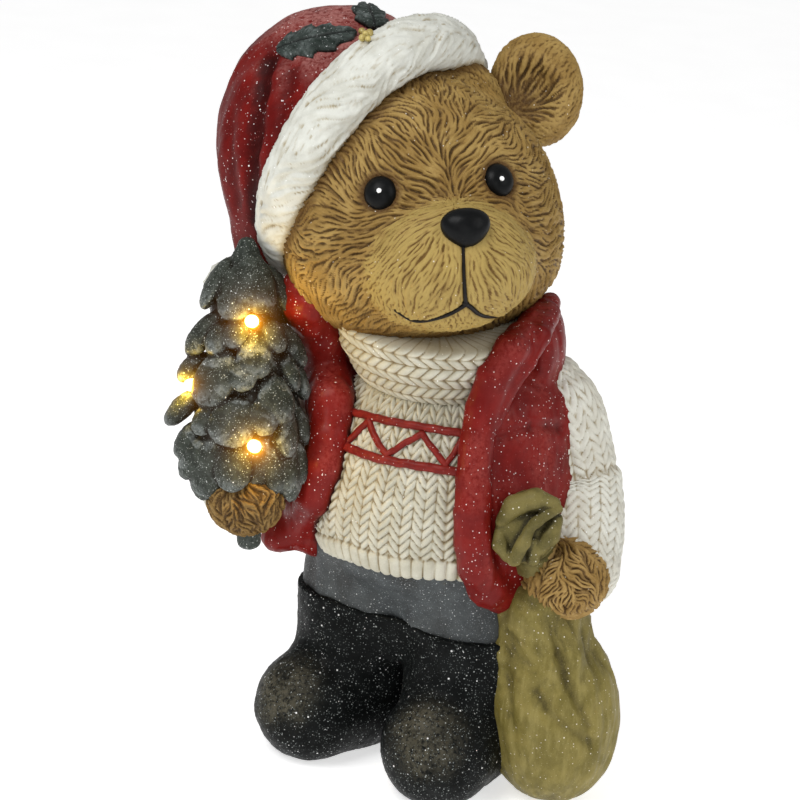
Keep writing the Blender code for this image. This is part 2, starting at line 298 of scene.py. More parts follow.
def cube_sphere(n):
    r = np.arange(n + 1)
    a, b = np.meshgrid(r, r, indexing="ij")
    pts, quads, off = [], [], 0
    for ax in range(3):
        for side in (0, n):
            c = np.zeros((n + 1, n + 1, 3), int)
            c[..., ax] = side
            c[..., (ax + 1) % 3] = a
            c[..., (ax + 2) % 3] = b
            pts.append(c.reshape(-1, 3))
            idx = np.arange((n + 1) ** 2).reshape(n + 1, n + 1) + off
            off += (n + 1) ** 2
            q = np.stack([idx[:-1, :-1], idx[1:, :-1], idx[1:, 1:], idx[:-1, 1:]], -1).reshape(-1, 4)
            quads.append(q if side else q[:, ::-1])
    pts = np.concatenate(pts)
    _, first, inv = np.unique(pts @ np.array([1, n + 1, (n + 1) ** 2]), return_index=True, return_inverse=True)
    d = np.tan((pts[first] / n * 2 - 1) * math.pi / 4)
    return unit(d), inv.reshape(-1)[np.concatenate(quads)]


def star(f, centre, n, far, toward=None, power=1.35, turns=34):
    """surface f = 0 seen from a point inside it, with finer faces toward one side"""
    d, q = cube_sphere(n)
    if toward is not None:
        ax = unit(toward)
        M = axes(ax, (0, 0, 1) if abs(ax[2]) < 0.9 else (1, 0, 0))
        d = d @ M.T
        c = np.clip(d @ ax, -1, 1)
        th = np.arccos(c)
        side = unit(d - c[:, None] * ax)
        t2 = math.pi * (th / math.pi) ** power
        d = unit(np.cos(t2)[:, None] * ax + np.sin(t2)[:, None] * side)
    c = np.asarray(centre, float)
    t = np.full(len(d), float(far))
    for _ in range(turns):
        t = np.maximum(t - 0.85 * f(c + d * t[:, None]), 0.5)
    return c + d * t[:, None], q


def iso(f, lo, hi, h, relax=2):
    """closed quad surface of f = 0 in a box, by surface nets on a narrow band"""
    S = 4
    lo = np.asarray(lo, float) - 2 * h
    n = np.ceil((np.asarray(hi, float) + 2 * h - lo) / (h * S)).astype(int) + 1
    g = np.stack(np.meshgrid(*[np.arange(k) for k in n], indexing="ij"), -1).reshape(-1, 3)
    g = g[np.abs(f(lo + (g + 0.5) * h * S)) < h * S * 1.25 + h]
    sub = np.stack(np.meshgrid(*[np.arange(S)] * 3, indexing="ij"), -1).reshape(-1, 3)
    cells = (g[:, None] * S + sub[None]).reshape(-1, 3)
    N = n * S + 2
    w = np.array([N[1] * N[2], N[2], 1], dtype=np.int64)
    corner = np.array([[i, j, k] for i in (0, 1) for j in (0, 1) for k in (0, 1)])
    ck = (cells[:, None] + corner[None]).reshape(-1, 3) @ w
    uk, inv = np.unique(ck, return_inverse=True)
    up = np.stack([uk // w[0], uk % w[0] // w[1], uk % w[1]], -1)
    val = f(lo + up * h)
    cv = val[inv.reshape(-1)].reshape(-1, 8)
    act = (cv.min(1) < 0) & (cv.max(1) >= 0)
    cells, cv = cells[act], cv[act]
    key = cells @ w
    order = np.argsort(key)
    cells, cv, key = cells[order], cv[order], key[order]
    acc = np.zeros((len(cells), 3))
    cnt = np.zeros(len(cells))
    for a in range(8):
        for b in range(a + 1, 8):
            if np.abs(corner[a] - corner[b]).sum() != 1:
                continue
            m = (cv[:, a] < 0) != (cv[:, b] < 0)
            t = cv[m, a] / (cv[m, a] - cv[m, b])
            acc[m] += corner[a] + t[:, None] * (corner[b] - corner[a])
            cnt[m] += 1
    pos = lo + (cells + acc / np.maximum(cnt, 1)[:, None]) * h
    quads = []

    def find(k):
        i = np.searchsorted(key, k)
        i = np.minimum(i, len(key) - 1)
        return np.where(key[i] == k, i, -1)

    for ax, (o1, o2) in enumerate(((1, 2), (2, 0), (0, 1))):
        far = {0: 4, 1: 2, 2: 1}[ax]
        m = np.nonzero((cv[:, 0] < 0) != (cv[:, far] < 0))[0]
        k = key[m]
        q = np.stack([m, find(k - w[o1]), find(k - w[o1] - w[o2]), find(k - w[o2])], 1)
        ok = (q >= 0).all(1)
        q = q[ok]
        flip = cv[m[ok], 0] >= 0
        q[flip] = q[flip][:, ::-1]
        quads.append(q)
    quads = np.concatenate(quads)
    for turn in range(relax + 1):
        for _ in range(2):
            gr = grad(f, pos, h * 0.3)
            s = np.clip(f(pos) / np.maximum((gr * gr).sum(1), 0.05), -h, h)
            pos = pos - gr * s[:, None]
        if turn < relax:
            nb = np.zeros_like(pos)
            c = np.zeros(len(pos))
            for i in range(4):
                a, b = quads[:, i], quads[:, (i + 1) % 4]
                for x, y in ((a, b), (b, a)):
                    for j in range(3):
                        nb[:, j] += np.bincount(x, pos[y, j], len(pos))
                    c += np.bincount(x, minlength=len(pos))
            pos = pos + 0.5 * (nb / np.maximum(c, 1)[:, None] - pos)
    return pos, quads


def path(pts, gap):
    """a rounded line through points, with even steps"""
    p = np.asarray(pts, float)
    for _ in range(3):
        q = np.empty((2 * len(p) - 2, p.shape[1]))
        q[0::2] = 0.75 * p[:-1] + 0.25 * p[1:]
        q[1::2] = 0.25 * p[:-1] + 0.75 * p[1:]
        p = np.concatenate([p[:1], q, p[-1:]])
    s = np.concatenate([[0], np.cumsum(ln(p[1:, :3] - p[:-1, :3]))])
    t = np.linspace(0, s[-1], max(3, int(round(s[-1] / gap)) + 1))
    return np.stack([np.interp(t, s, p[:, j]) for j in range(p.shape[1])], 1), t


def tube(pts, gap, n_a, side=(0, 0, 1)):
    """closed round-ended tube along points (x, y, z, radius); returns points, faces, normals, angle, distance along"""
    p, t = path(pts, gap)
    c, r = p[:, :3], p[:, 3]
    tan = unit(np.gradient(c, axis=0))
    k = max(3, int(math.pi / 2 * max(r[0], r[-1]) / gap / 1.2))
    a = np.linspace(0, math.pi / 2, k + 1)[1:-1]
    c0 = c[0] - tan[0] * (np.cos(a)[:, None]) * r[0] * 0.8
    c1 = c[-1] + tan[-1] * (np.cos(a[::-1])[:, None]) * r[-1] * 0.8
    cc = np.concatenate([c0, c, c1])
    rr = np.concatenate([np.sin(a) * r[0], r, np.sin(a[::-1]) * r[-1]])
    tt = np.concatenate([np.repeat(tan[:1], len(a), 0), tan, np.repeat(tan[-1:], len(a), 0)])
    ss = np.concatenate([t[0] - np.cos(a) * r[0], t, t[-1] + np.cos(a[::-1]) * r[-1]])
    ref = np.asarray(side, float)
    X = np.zeros_like(cc)
    x = unit(np.cross(ref, tt[0]))
    for i in range(len(cc)):
        x = unit(x - (x @ tt[i]) * tt[i])
        X[i] = x
    Y = np.cross(tt, X)
    ang = np.linspace(0, 2 * math.pi, n_a, endpoint=False)
    nrm = np.cos(ang)[None, :, None] * X[:, None] + np.sin(ang)[None, :, None] * Y[:, None]
    v = cc[:, None] + nrm * rr[:, None, None]
    m = len(cc)
    idx = np.arange(m * n_a).reshape(m, n_a)
    nx = np.roll(idx, -1, 1)
    q = np.stack([idx[:-1], nx[:-1], nx[1:], idx[1:]], -1).reshape(-1, 4)
    v = np.concatenate([v.reshape(-1, 3), [c[0] - tan[0] * r[0] * 0.8], [c[-1] + tan[-1] * r[-1] * 0.8]])
    e0, e1 = m * n_a, m * n_a + 1
    t0 = np.stack([np.full(n_a, e0), nx[0], idx[0]], -1)
    t1 = np.stack([np.full(n_a, e1), idx[-1], nx[-1]], -1)
    N = np.concatenate([nrm.reshape(-1, 3), [-tan[0]], [tan[-1]]])
    A = np.concatenate([np.tile(ang, m), [0, 0]])
    L = np.concatenate([np.repeat(ss, n_a), [ss[0], ss[-1]]])
    return v, [q, np.concatenate([t0, t1])], N, A, L


def drum(ang, rows, point):
    """closed grid round an axis: point(angle array, row index) gives each ring; ends close on their middle"""
    rings = [point(ang, i) for i in range(rows)]
    v = np.concatenate(rings)
    n = len(ang)
    idx = np.arange(rows * n).reshape(rows, n)
    nx = np.roll(idx, -1, 1)
    q = np.stack([idx[:-1], nx[:-1], nx[1:], idx[1:]], -1).reshape(-1, 4)
    v = np.concatenate([v, [rings[0].mean(0)], [rings[-1].mean(0)]])
    e0, e1 = rows * n, rows * n + 1
    t0 = np.stack([np.full(n, e0), nx[0], idx[0]], -1)
    t1 = np.stack([np.full(n, e1), idx[-1], nx[-1]], -1)
    return v, [q, np.concatenate([t0, t1])]


def face_normals(v, faces):
    n = np.zeros_like(v)
    for f in (faces if isinstance(faces, list) else [faces]):
        a = np.cross(v[f[:, 2]] - v[f[:, 0]], v[f[:, -1]] - v[f[:, 1]] if f.shape[1] == 4 else v[f[:, 1]] - v[f[:, 0]])
        if f.shape[1] == 3:
            a = -a
        for k in range(f.shape[1]):
            for j in range(3):
                n[:, j] += np.bincount(f[:, k], a[:, j], len(v))
    return unit(n)


def spread_angles(centre, half, fine, coarse):
    """angles all round, closely spaced within half of centre (degrees)"""
    a = np.arange(centre - half, centre + half, fine)
    b = np.arange(centre + half, centre - half + 360, coarse)
    return np.radians(np.concatenate([a, b]))


def knit(u, v, w, pitch, slant=1.25):
    """height 0 to 1 of slanted stitches: u across the columns, v along them"""
    c = np.floor(u / w)
    x = u / w - c - 0.5
    s = np.where(c % 2 == 0, 1.0, -1.0)
    y = v / pitch + s * slant * x
    yy = y - np.floor(y) - 0.5
    ex = np.clip(1 - np.abs(2 * x) ** 2.8, 0, 1) ** 0.5
    ey = np.clip(1 - np.abs(2 * yy) ** 2.2, 0, 1) ** 0.55
    return (0.15 + 0.85 * ex) * ey


# ------------------------------------------------------------------ materials
def lin(c):
    return tuple(((x / 255) / 12.92 if x / 255 <= 0.04045 else ((x / 255 + 0.055) / 1.055) ** 2.4) for x in c) + (1.0,)


class Nodes:
    def __init__(self, name):
        self.mat = bpy.data.materials.new(name)
        self.mat.use_nodes = True
        self.t = self.mat.node_tree
        self.bsdf = self.t.nodes["Principled BSDF"]
        self.co = self.add("ShaderNodeTexCoord").outputs["Object"]

    def add(self, kind, **props):
        n = self.t.nodes.new(kind)
        for k, v in props.items():
            setattr(n, k, v)
        return n

    def link(self, a, b):
        self.t.links.new(a, b)

    def put(self, sock, v):
        if isinstance(v, bpy.types.NodeSocket):
            self.link(v, sock)
        else:
            sock.default_value = v

    def attr(self, name):
        return self.add("ShaderNodeAttribute", attribute_name=name).outputs["Fac"]

    def math(self, op, a, b=0.0, c=0.0, clamp=False):
        n = self.add("ShaderNodeMath", operation=op, use_clamp=clamp)
        for s, v in zip(n.inputs, (a, b, c)):
            self.put(s, v)
        return n.outputs[0]

    def range(self, v, a, b, lo=0.0, hi=1.0, smooth=True):
        n = self.add("ShaderNodeMapRange", interpolation_type="SMOOTHSTEP" if smooth else "LINEAR")
        self.put(n.inputs["Value"], v)
        for k, x in zip(("From Min", "From Max", "To Min", "To Max"), (a, b, lo, hi)):
            self.put(n.inputs[k], x)
        return n.outputs["Result"]

    def noise(self, mm, detail=3.0, rough=0.55, stretch=None, off=0.0):
        n = self.add("ShaderNodeTexNoise")
        co = self.co
        if stretch is not None or off:
            m = self.add("ShaderNodeMapping")
            self.link(self.co, m.inputs["Vector"])
            m.inputs["Location"].default_value = (off, off * 0.7, off * 0.3)
            if stretch is not None:
                m.inputs["Scale"].default_value = stretch
            co = m.outputs["Vector"]
        self.link(co, n.inputs["Vector"])
        n.inputs["Scale"].default_value = 1000.0 / mm
        n.inputs["Detail"].default_value = detail
        n.inputs["Roughness"].default_value = rough
        return n.outputs["Fac"]

    def mix(self, f, a, b, kind="MIX"):
        n = self.add("ShaderNodeMix", data_type="RGBA", blend_type=kind)
        self.put(n.inputs["Factor"], f)
        self.put(n.inputs["A"], a)
        self.put(n.inputs["B"], b)
        for s in n.inputs:
            if s.name == "A" and s.type == "RGBA":
                self.put(s, a)
            if s.name == "B" and s.type == "RGBA":
                self.put(s, b)
        return [s for s in n.outputs if s.type == "RGBA"][0]

    def specks(self, mm, size, share, off=0.0):
        """small round flakes in a share of the cells; gives mask and a random value for each flake"""
        m = self.add("ShaderNodeMapping")
        self.link(self.co, m.inputs["Vector"])
        m.inputs["Location"].default_value = (off, off * 0.6, off * 0.2)
        v = self.add("ShaderNodeTexVoronoi", feature="F1")
        self.link(m.outputs["Vector"], v.inputs["Vector"])
        v.inputs["Scale"].default_value = 1000.0 / mm
        sep = self.add("ShaderNodeSeparateColor")
        self.link(v.outputs["Color"], sep.inputs["Color"])
        chance = self.math("LESS_THAN", sep.outputs[0], share)
        r = self.math("MULTIPLY_ADD", sep.outputs[1], size * 0.6, size * 0.4)
        near = self.range(self.math("DIVIDE", v.outputs["Distance"], r), 1.0, 0.6)
        return self.math("MULTIPLY", chance, near), sep.outputs[2]

    def bump(self, h, strength, mm, normal=None):
        n = self.add("ShaderNodeBump")
        n.inputs["Strength"].default_value = strength
        n.inputs["Distance"].default_value = mm / 1000.0
        self.put(n.inputs["Height"], h)
        if normal is not None:
            self.link(normal, n.inputs["Normal"])
        return n.outputs["Normal"]


def painted(name, light, base, dark, deep=None, rough=0.55, spec=0.16, patch=9.0, glitter=(), wash=1.0, grain=0.06,
            rub_and_highlight=None, coat=0.0, extra=None, streak=None):
    """painted casting: base colour with lighter rubbed areas and painted highlights, dark wash held in the carving plus
    painted shade in creases, recesses and between parts ('cav'), grain and glitter
    """
    n = Nodes(name)
    cav = n.attr("cav")
    a = n.noise(patch, 4.0, 0.6)
    col = n.mix(n.range(a, 0.38, 0.64), lin(base), lin(light))
    if streak is not None:
        b = n.noise(streak[0], 3.0, 0.6, stretch=streak[1], off=0.31)
        col = n.mix(n.math("MULTIPLY", n.range(b, 0.45, 0.68), streak[2]), col, lin(streak[3]))
    # lighter colour where the mask is high: rubbed paint, and on the hat, vest and boots a painted highlight
    if rub_and_highlight is not None:
        b = n.noise(1.6, 3.0, 0.7, off=0.17)
        f = n.math("MULTIPLY", n.range(n.attr("rub_and_highlight"), 0.05, 0.95), n.range(b, 0.30, 0.62))
        col = n.mix(f, col, lin(rub_and_highlight))
    fine = n.noise(0.9, 3.0, 0.7, off=0.05)
    # 'cav' darkens toward the dark colours: wash held in the carving, and painted shade in creases, recesses and where
    # parts meet
    w = n.math("ADD", cav, n.math("MULTIPLY_ADD", fine, 0.30, -0.15))
    col = n.mix(n.range(w, 0.12, 0.75, 0.0, 0.92 * wash), col, lin(dark))
    if deep is not None:
        col = n.mix(n.range(w, 0.62, 1.1, 0.0, 0.9), col, lin(deep))
    if extra is not None:
        col = extra(n, col)
    dust = n.noise(0.55, 2.0, 0.6, off=0.4)
    col = n.mix(n.range(dust, 0.2, 0.8, 0.0, grain * 2), col, lin(tuple(min(255, x * 1.25 + 12) for x in light)))
    rgh = n.range(n.noise(2.6, 3.0, 0.6, off=0.22), 0.3, 0.7, rough - 0.07, rough + 0.09, smooth=False)
    height = n.math("ADD", n.math("MULTIPLY", fine, 0.6), n.math("MULTIPLY", dust, 0.4))
    for i, (mm, size, share, tint, bright) in enumerate(glitter):
        m, rnd = n.specks(mm, size, share, off=0.013 * (i + 1))
        m = n.math("MULTIPLY", m, n.range(rnd, 0.0, 1.0, 0.55 * bright, bright, smooth=False), clamp=True)
        col = n.mix(m, col, lin(tint))
        rgh = n.math("SUBTRACT", rgh, n.math("MULTIPLY", m, 0.25), clamp=True)
        height = n.math("ADD", height, n.math("MULTIPLY", m, 0.8))
    n.link(col, n.bsdf.inputs["Base Color"])
    n.link(rgh, n.bsdf.inputs["Roughness"])
    n.bsdf.inputs["Specular IOR Level"].default_value = spec
    if coat:
        n.bsdf.inputs["Coat Weight"].default_value = coat
        n.bsdf.inputs["Coat Roughness"].default_value = 0.35
    n.link(n.bump(height, 0.35, 0.12), n.bsdf.inputs["Normal"])
    return n.mat


SILVER = (238, 240, 240)
FUR_SPECKS = ((1.6, 0.24, 0.10, (250, 246, 232), 0.8),)
WHITE_SPECKS = ((1.4, 0.26, 0.12, (255, 255, 255), 0.9),)


def muzzle_tone(n, col):
    m = n.attr("muz")
    c = n.mix(n.math("MULTIPLY", n.range(m, 0.1, 0.9), 0.8), col, n.mix(n.range(n.attr("cav"), 0.15, 0.8), lin((170, 147, 84)), lin((104, 76, 34))))
    # darker brown where 'edge' is high: mostly painted shade in recesses and where parts meet, plus the painted eye
    # rims
    return n.mix(n.range(n.attr("edge"), 0.1, 1.0, 0.0, 0.75), c, lin((74, 45, 16)))


M_FUR = painted("bear_fur", (162, 134, 78), (137, 108, 56), (76, 49, 18), (42, 25, 9), rough=0.56, patch=14,
                glitter=FUR_SPECKS, extra=muzzle_tone)
M_PAW = painted("paw_fur", (166, 136, 82), (140, 110, 58), (70, 44, 18), (42, 25, 10), rough=0.56, patch=10, glitter=FUR_SPECKS)
M_WHITE = painted("hat_trim_white", (214, 215, 206), (199, 199, 188), (158, 142, 104), (116, 96, 60), rough=0.6, patch=10,
                  glitter=WHITE_SPECKS, wash=0.8, grain=0.05)
M_KNIT = painted("sweater_white", (200, 197, 181), (184, 180, 162), (140, 121, 84), (92, 74, 46), rough=0.6, patch=12,
                 glitter=WHITE_SPECKS, wash=1.0, grain=0.05)
M_SLEEVE = painted("sleeve_white", (220, 219, 207), (206, 203, 189), (152, 134, 98), (104, 84, 54), rough=0.6, patch=12,
                 glitter=WHITE_SPECKS, wash=1.0, grain=0.05)
RED_SPECKS = ((0.9, 0.34, 0.26, (150, 78, 74), 0.6), (1.3, 0.27, 0.44, (246, 232, 230), 1.0), (2.8, 0.155, 0.30, (255, 250, 248), 1.0))
# the vest's rub colour (136, 48, 42) is laid on as a painted highlight on faces turned to the front and up
M_RED = painted("vest_red", (120, 22, 18), (104, 14, 11), (54, 8, 7), (30, 5, 5), rough=0.4, spec=0.12, patch=12, glitter=RED_SPECKS,
                rub_and_highlight=(136, 48, 42), grain=0.02, coat=0.08)
# the hat's rub colour (168, 112, 106) is laid on as a painted highlight on faces turned up and to the front
M_HAT = painted("hat_red", (114, 22, 18), (94, 14, 12), (50, 7, 6), (26, 4, 4), rough=0.46, spec=0.08, patch=14, glitter=RED_SPECKS,
                rub_and_highlight=(168, 112, 106), grain=0.02)
M_CORD = painted("cord_red", (128, 36, 30), (106, 24, 20), (62, 14, 11), rough=0.4, spec=0.16, patch=4, glitter=RED_SPECKS[:2])
M_GREY = painted("trouser_grey", (74, 78, 79), (58, 61, 62), (42, 40, 38), (28, 26, 25), rough=0.55, patch=12,
                 glitter=((0.75, 0.42, 0.7, (138, 144, 148), 0.6), (1.15, 0.27, 0.5, SILVER, 0.85)), grain=0.12)
BOOT_SPECKS = ((0.75, 0.42, 0.62, (112, 118, 116), 0.7), (1.2, 0.30, 0.52, (196, 202, 200), 0.85), (2.6, 0.20, 0.35, (255, 255, 255), 1.0))
# the boots' rub colour (94, 90, 76) is laid on as a painted highlight on the toe caps
M_BOOT = painted("boot_black", (20, 22, 22), (10, 12, 12), (5, 6, 6), rough=0.45, spec=0.06, patch=10, glitter=BOOT_SPECKS,
                 rub_and_highlight=(94, 90, 76), grain=0.02)
M_TREE = painted("fir_green", (56, 62, 56), (33, 39, 34), (13, 16, 13), (6, 8, 6), rough=0.5, spec=0.16, patch=4,
                 glitter=((0.7, 0.42, 0.7, (140, 146, 140), 0.8), (1.05, 0.31, 0.6, (208, 212, 206), 0.95), (2.2, 0.17, 0.34, (255, 255, 255), 1.0)),
                 rub_and_highlight=(128, 134, 132), grain=0.08)
M_LEAF = painted("holly_green", (46, 54, 50), (28, 36, 32), (12, 15, 13), rough=0.45, spec=0.14, patch=4,
                 glitter=((0.75, 0.38, 0.5, (136, 142, 140), 0.75), (1.4, 0.26, 0.34, SILVER, 1.0)), rub_and_highlight=(110, 118, 116), grain=0.08)
M_BAG = painted("sack_olive", (128, 116, 62), (104, 94, 44), (62, 55, 26), (36, 31, 14), rough=0.5, patch=14,
                glitter=((0.9, 0.32, 0.36, (176, 166, 122), 0.6), (1.6, 0.23, 0.36, (250, 246, 230), 0.9)), grain=0.08,
                streak=(3.0, (1.0, 1.0, 0.12), 0.45, (150, 138, 84)))
M_MOUTH = painted("sack_mouth", (116, 106, 60), (86, 79, 42), (44, 40, 21), (24, 21, 10), rough=0.5, patch=9,
                  glitter=((0.9, 0.32, 0.3, (170, 162, 124), 0.6), (1.7, 0.24, 0.3, (250, 246, 230), 0.9)), grain=0.08)
M_GOLD = painted("berry_gold", (190, 172, 100), (150, 130, 62), (84, 66, 24), rough=0.35, spec=0.5, patch=3,
                 glitter=((0.8, 0.2, 0.2, (255, 250, 220), 0.8),), coat=0.3)
M_BLACK = painted("eye_black", (14, 15, 16), (9, 10, 11), (6, 6, 6), rough=0.36, spec=0.12, patch=5, grain=0.02)
M_LINE = painted("mouth_line", (24, 20, 18), (14, 12, 11), (8, 7, 6), rough=0.45, spec=0.16, patch=3, grain=0.03)
M_DOT = painted("eye_dot", (255, 255, 255), (246, 248, 248), (226, 230, 230), rough=0.4, spec=0.16, patch=1.5, grain=0.02)

# ------------------------------------------------------------------ head
YAW, PITCH, LEAN = math.radians(12.0), math.radians(5.0), math.radians(5.0)
HF = math.cos(YAW) * math.cos(PITCH) * B + math.sin(YAW) * math.cos(PITCH) * R - math.sin(PITCH) * U
_up = U * math.cos(LEAN) - R * math.sin(LEAN)
HZ = unit(_up - (_up @ HF) * HF)
HX = np.cross(-HF, HZ)
H = np.stack([HX, -HF, HZ], 1)
HC = np.array([-43.0, -18.0, 568.0])


def hl(x, y, z):
    return HC + H @ np.array([x, y, z], float)


# hat axis and band
HAT_AX = unit((-0.78 * R + 0.62 * U) * math.cos(math.radians(22)) - B * math.sin(math.radians(22)))
HAT_A = axes(HAT_AX, B)
BAND_C = P(374, 151, 29)
BAND_R = 124.0



def f_muzzle(p):
    return smin(ell(p, hl(2, -100, -56), (82, 72, 59), H), ell(p, hl(0, -134, -42), (46, 40, 36), H), 40)


def f_skull(p):
    d = smin(ell(p, HC, (134, 118, 122), H), ell(p, hl(0, -10, -46), (128, 108, 84), H), 40)
    d = smin(d, sph(p, HC + 0.42 * (BAND_C - HC), 113), 20)
    d = smin(d, sph(p, P(449, 112, 24), 55), 14)
    return smin(d, f_muzzle(p), 14)


EYE_AT = [sight(380, 193, f_skull), sight(499, 180, f_skull)]
EYE_N = [unit(grad(f_skull, e[None])[0]) for e in EYE_AT]
NOSE_AT = sight(465, 228, f_skull)


def line_on(f, pts, push=0.0):
    out = []
    for x, y in pts:
        q = sight(x, y, f)
        out.append(q + unit(grad(f, q[None])[0]) * push)
    return np.array(out)


PHILTRUM = line_on(f_skull, [(463.5, 246), (464, 270), (465, 290), (466, 304)])
MOUTH_A = line_on(f_skull, [(467, 305), (455, 313), (444, 318), (423, 323), (410, 322), (394, 312)])
MOUTH_B = line_on(f_skull, [(465, 304), (472, 309), (479, 316), (491, 319), (506, 315), (520, 303)])


def f_head(p):
    d = f_skull(p)
    for e in EYE_AT:
        r = ln(p - e)
        d = d + 3.0 * np.exp(-(r / 12.0) ** 4) - 2.4 * np.exp(-((r - 21) / 6.0) ** 2)
    return d


_fr = (B + 0.35 * U) - ((B + 0.35 * U) @ HAT_AX) * HAT_AX
BAND_FRONT = math.atan2(_fr @ HAT_A[:, 1], _fr @ HAT_A[:, 0])


def f_band(p):
    return torus(p, BAND_C, HAT_A, BAND_R, 27, 29)


def f_neck(p):
    M = axes((0.03, -0.16, 1))
    q = (p - np.array([-7, -16, 440.0])) @ M
    rr = np.sqrt(q[..., 0] ** 2 + (q[..., 1] * 1.06) ** 2)
    return smax((rr - (98 + 0.40 * q[..., 2])) * 0.9, np.abs(q[..., 2]) - 34, 16)


def head_flow(p):
    q = (p - HC) @ H
    n = unit(q)
    side = np.tanh(q[:, 0] / 10.0)
    w = fbm(p, 26.0, 5.1, 2) - 0.5
    vx = q[:, 0] * 0.9 + side * 34.0 * step(0, 60, q[:, 2])
    vz = q[:, 2] - 6.0 + 26 * step(-10, 50, q[:, 2])
    a = w * 1.9
    v = np.stack([vx * np.cos(a) - vz * np.sin(a), 0 * vx, vx * np.sin(a) + vz * np.cos(a)], 1)
    v = v - (v * n).sum(1)[:, None] * n
    return unit(v) @ H.T


def make_head():
    v, q = star(f_head, HC, 128, 260, toward=B - 0.12 * U + 0.1 * R, power=1.7)
    N = unit(grad(f_head, v))
    s = carved(v, head_flow, N, 4.2, 8.0, 0.0, 6)
    t = carved(v, head_flow, N, 8.2, 12.0, 9.3, 5)
    mz = 1 - step(-2.5, 7.0, f_muzzle(v) + 7.0 * (fbm(v, 10, 4.1, 2) - 0.5))
    loc = (v - HC) @ H
    fine = np.where(loc[:, 1] < -60, mz, 0)
    amp = 1.0 - 0.45 * fine
    hgt = amp * (1.25 * np.tanh(1.3 * s) + 0.75 * np.tanh(1.1 * t)) + 1.2 * (fbm(v, 24, 2.2, 2) - 0.5)
    near = np.minimum(ln(v - EYE_AT[0]), ln(v - EYE_AT[1]))
    calm = step(15, 24, near) * step(20, 32, ln(v - NOSE_AT))
    hgt = hgt * (0.25 + 0.75 * calm)
    cav = step(0.0, -1.3, s) * (0.85 - 0.25 * fine) + step(-0.2, -1.5, t) * (0.5 - 0.15 * fine)
    md = np.minimum(seg_dist(v, np.concatenate([MOUTH_A[::-1], MOUTH_B]))[0], seg_dist(v, PHILTRUM)[0])
    hgt = hgt * step(1, 6, md) - 3.4 * np.exp(-(md / 3.6) ** 2)
    cav = np.maximum(cav * step(1, 6, md), 0.55 * np.exp(-(md / 4.5) ** 2))
    cav = np.maximum(cav * (0.4 + 0.6 * calm), 0.95 * np.exp(-((near - 16) / 3.2) ** 2))
    # 'edge' darkens the fur toward dark brown: painted shade under the white band, at the neck and along the muzzle
    # edge, plus the painted dark rim round the eyes
    edge = np.maximum(1 - step(2, 20, f_band(v)), 1 - step(0, 22, f_neck(v)))
    edge = np.maximum(edge, 0.9 * np.exp(-((near - 17) / 6.0) ** 2))
    edge = np.maximum(edge, 0.55 * (1 - step(2, 15, np.abs(f_muzzle(v) - 8))) * step(-50, -90, loc[:, 1]) * 0.5)
    v = v + N * hgt[:, None]
    put("head", v, q, M_FUR, cav=np.clip(cav, 0, 1), muz=fine, edge=np.clip(edge, 0, 1))


def make_face():
    for i, (e, n) in enumerate(zip(EYE_AT, EYE_N)):
        M = axes(n, H[:, 2])
        c = e - n * 1.5
        v, q = star(lambda p: ell(p, c, (15.6, 16.4, 11.5), M), c, 16, 24)
        put("eye_%d" % (i + 1), v, q, M_BLACK, cav=0.0)
        dot = sight(*((379, 190.5) if i == 0 else (502, 178.5)), lambda p: ell(p, c, (15.6, 16.4, 11.5), M))
        nn = unit(grad(lambda p: ell(p, c, (15.6, 16.4, 11.5), M), dot[None])[0])
        v, q = star(lambda p: ell(p, dot, (2.4, 2.4, 1.1), axes(nn)), dot, 6, 4)
        put("eye_dot_%d" % (i + 1), v, q, M_DOT, cav=0.0)
    c = NOSE_AT + HF * 2.0

    def f_nose(p):
        q = (p - c) @ H
        k = 1 + 0.012 * q[..., 2]
        q2 = np.stack([q[..., 0] / k, q[..., 1], q[..., 2]], -1)
        return ell(q2, (0, 0, 0), (22.6, 16, 18.6)) * 0.85

    v, q = star(f_nose, c, 24, 40)
    nn = unit(v - c)
    v = v + nn * (0.6 * (fbm(v, 7, 1.0, 2) - 0.5))[:, None]
    put("nose", v, q, M_BLACK, cav=0.0)
    for nm, ln_, r in (("philtrum", PHILTRUM, (1.5, 1.6, 1.7, 2.1)), ("mouth_left", MOUTH_A, (2.6, 2.2, 2.1, 2.1, 1.9, 1.1)),
                       ("mouth_right", MOUTH_B, (2.6, 2.3, 2.1, 2.1, 1.8, 1.0))):
        pts = np.concatenate([ln_, np.array(r)[:, None]], 1)
        pts[:, :3] -= np.array([unit(grad(f_skull, x[None])[0]) for x in ln_]) * 1.8
        v, f, N, A, L = tube(pts, 1.5, 10)
        put(nm, v, f, M_LINE, cav=0.0)


# ------------------------------------------------------------------ ear
EAR_C = P(536, 90, 8)
BOWL_C = P(526, 88, 62)


def f_ear(p):
    d = ell(p, EAR_C, (47, 57, 30), C3)
    return smax(d, -sph(p, BOWL_C, 43), 9)


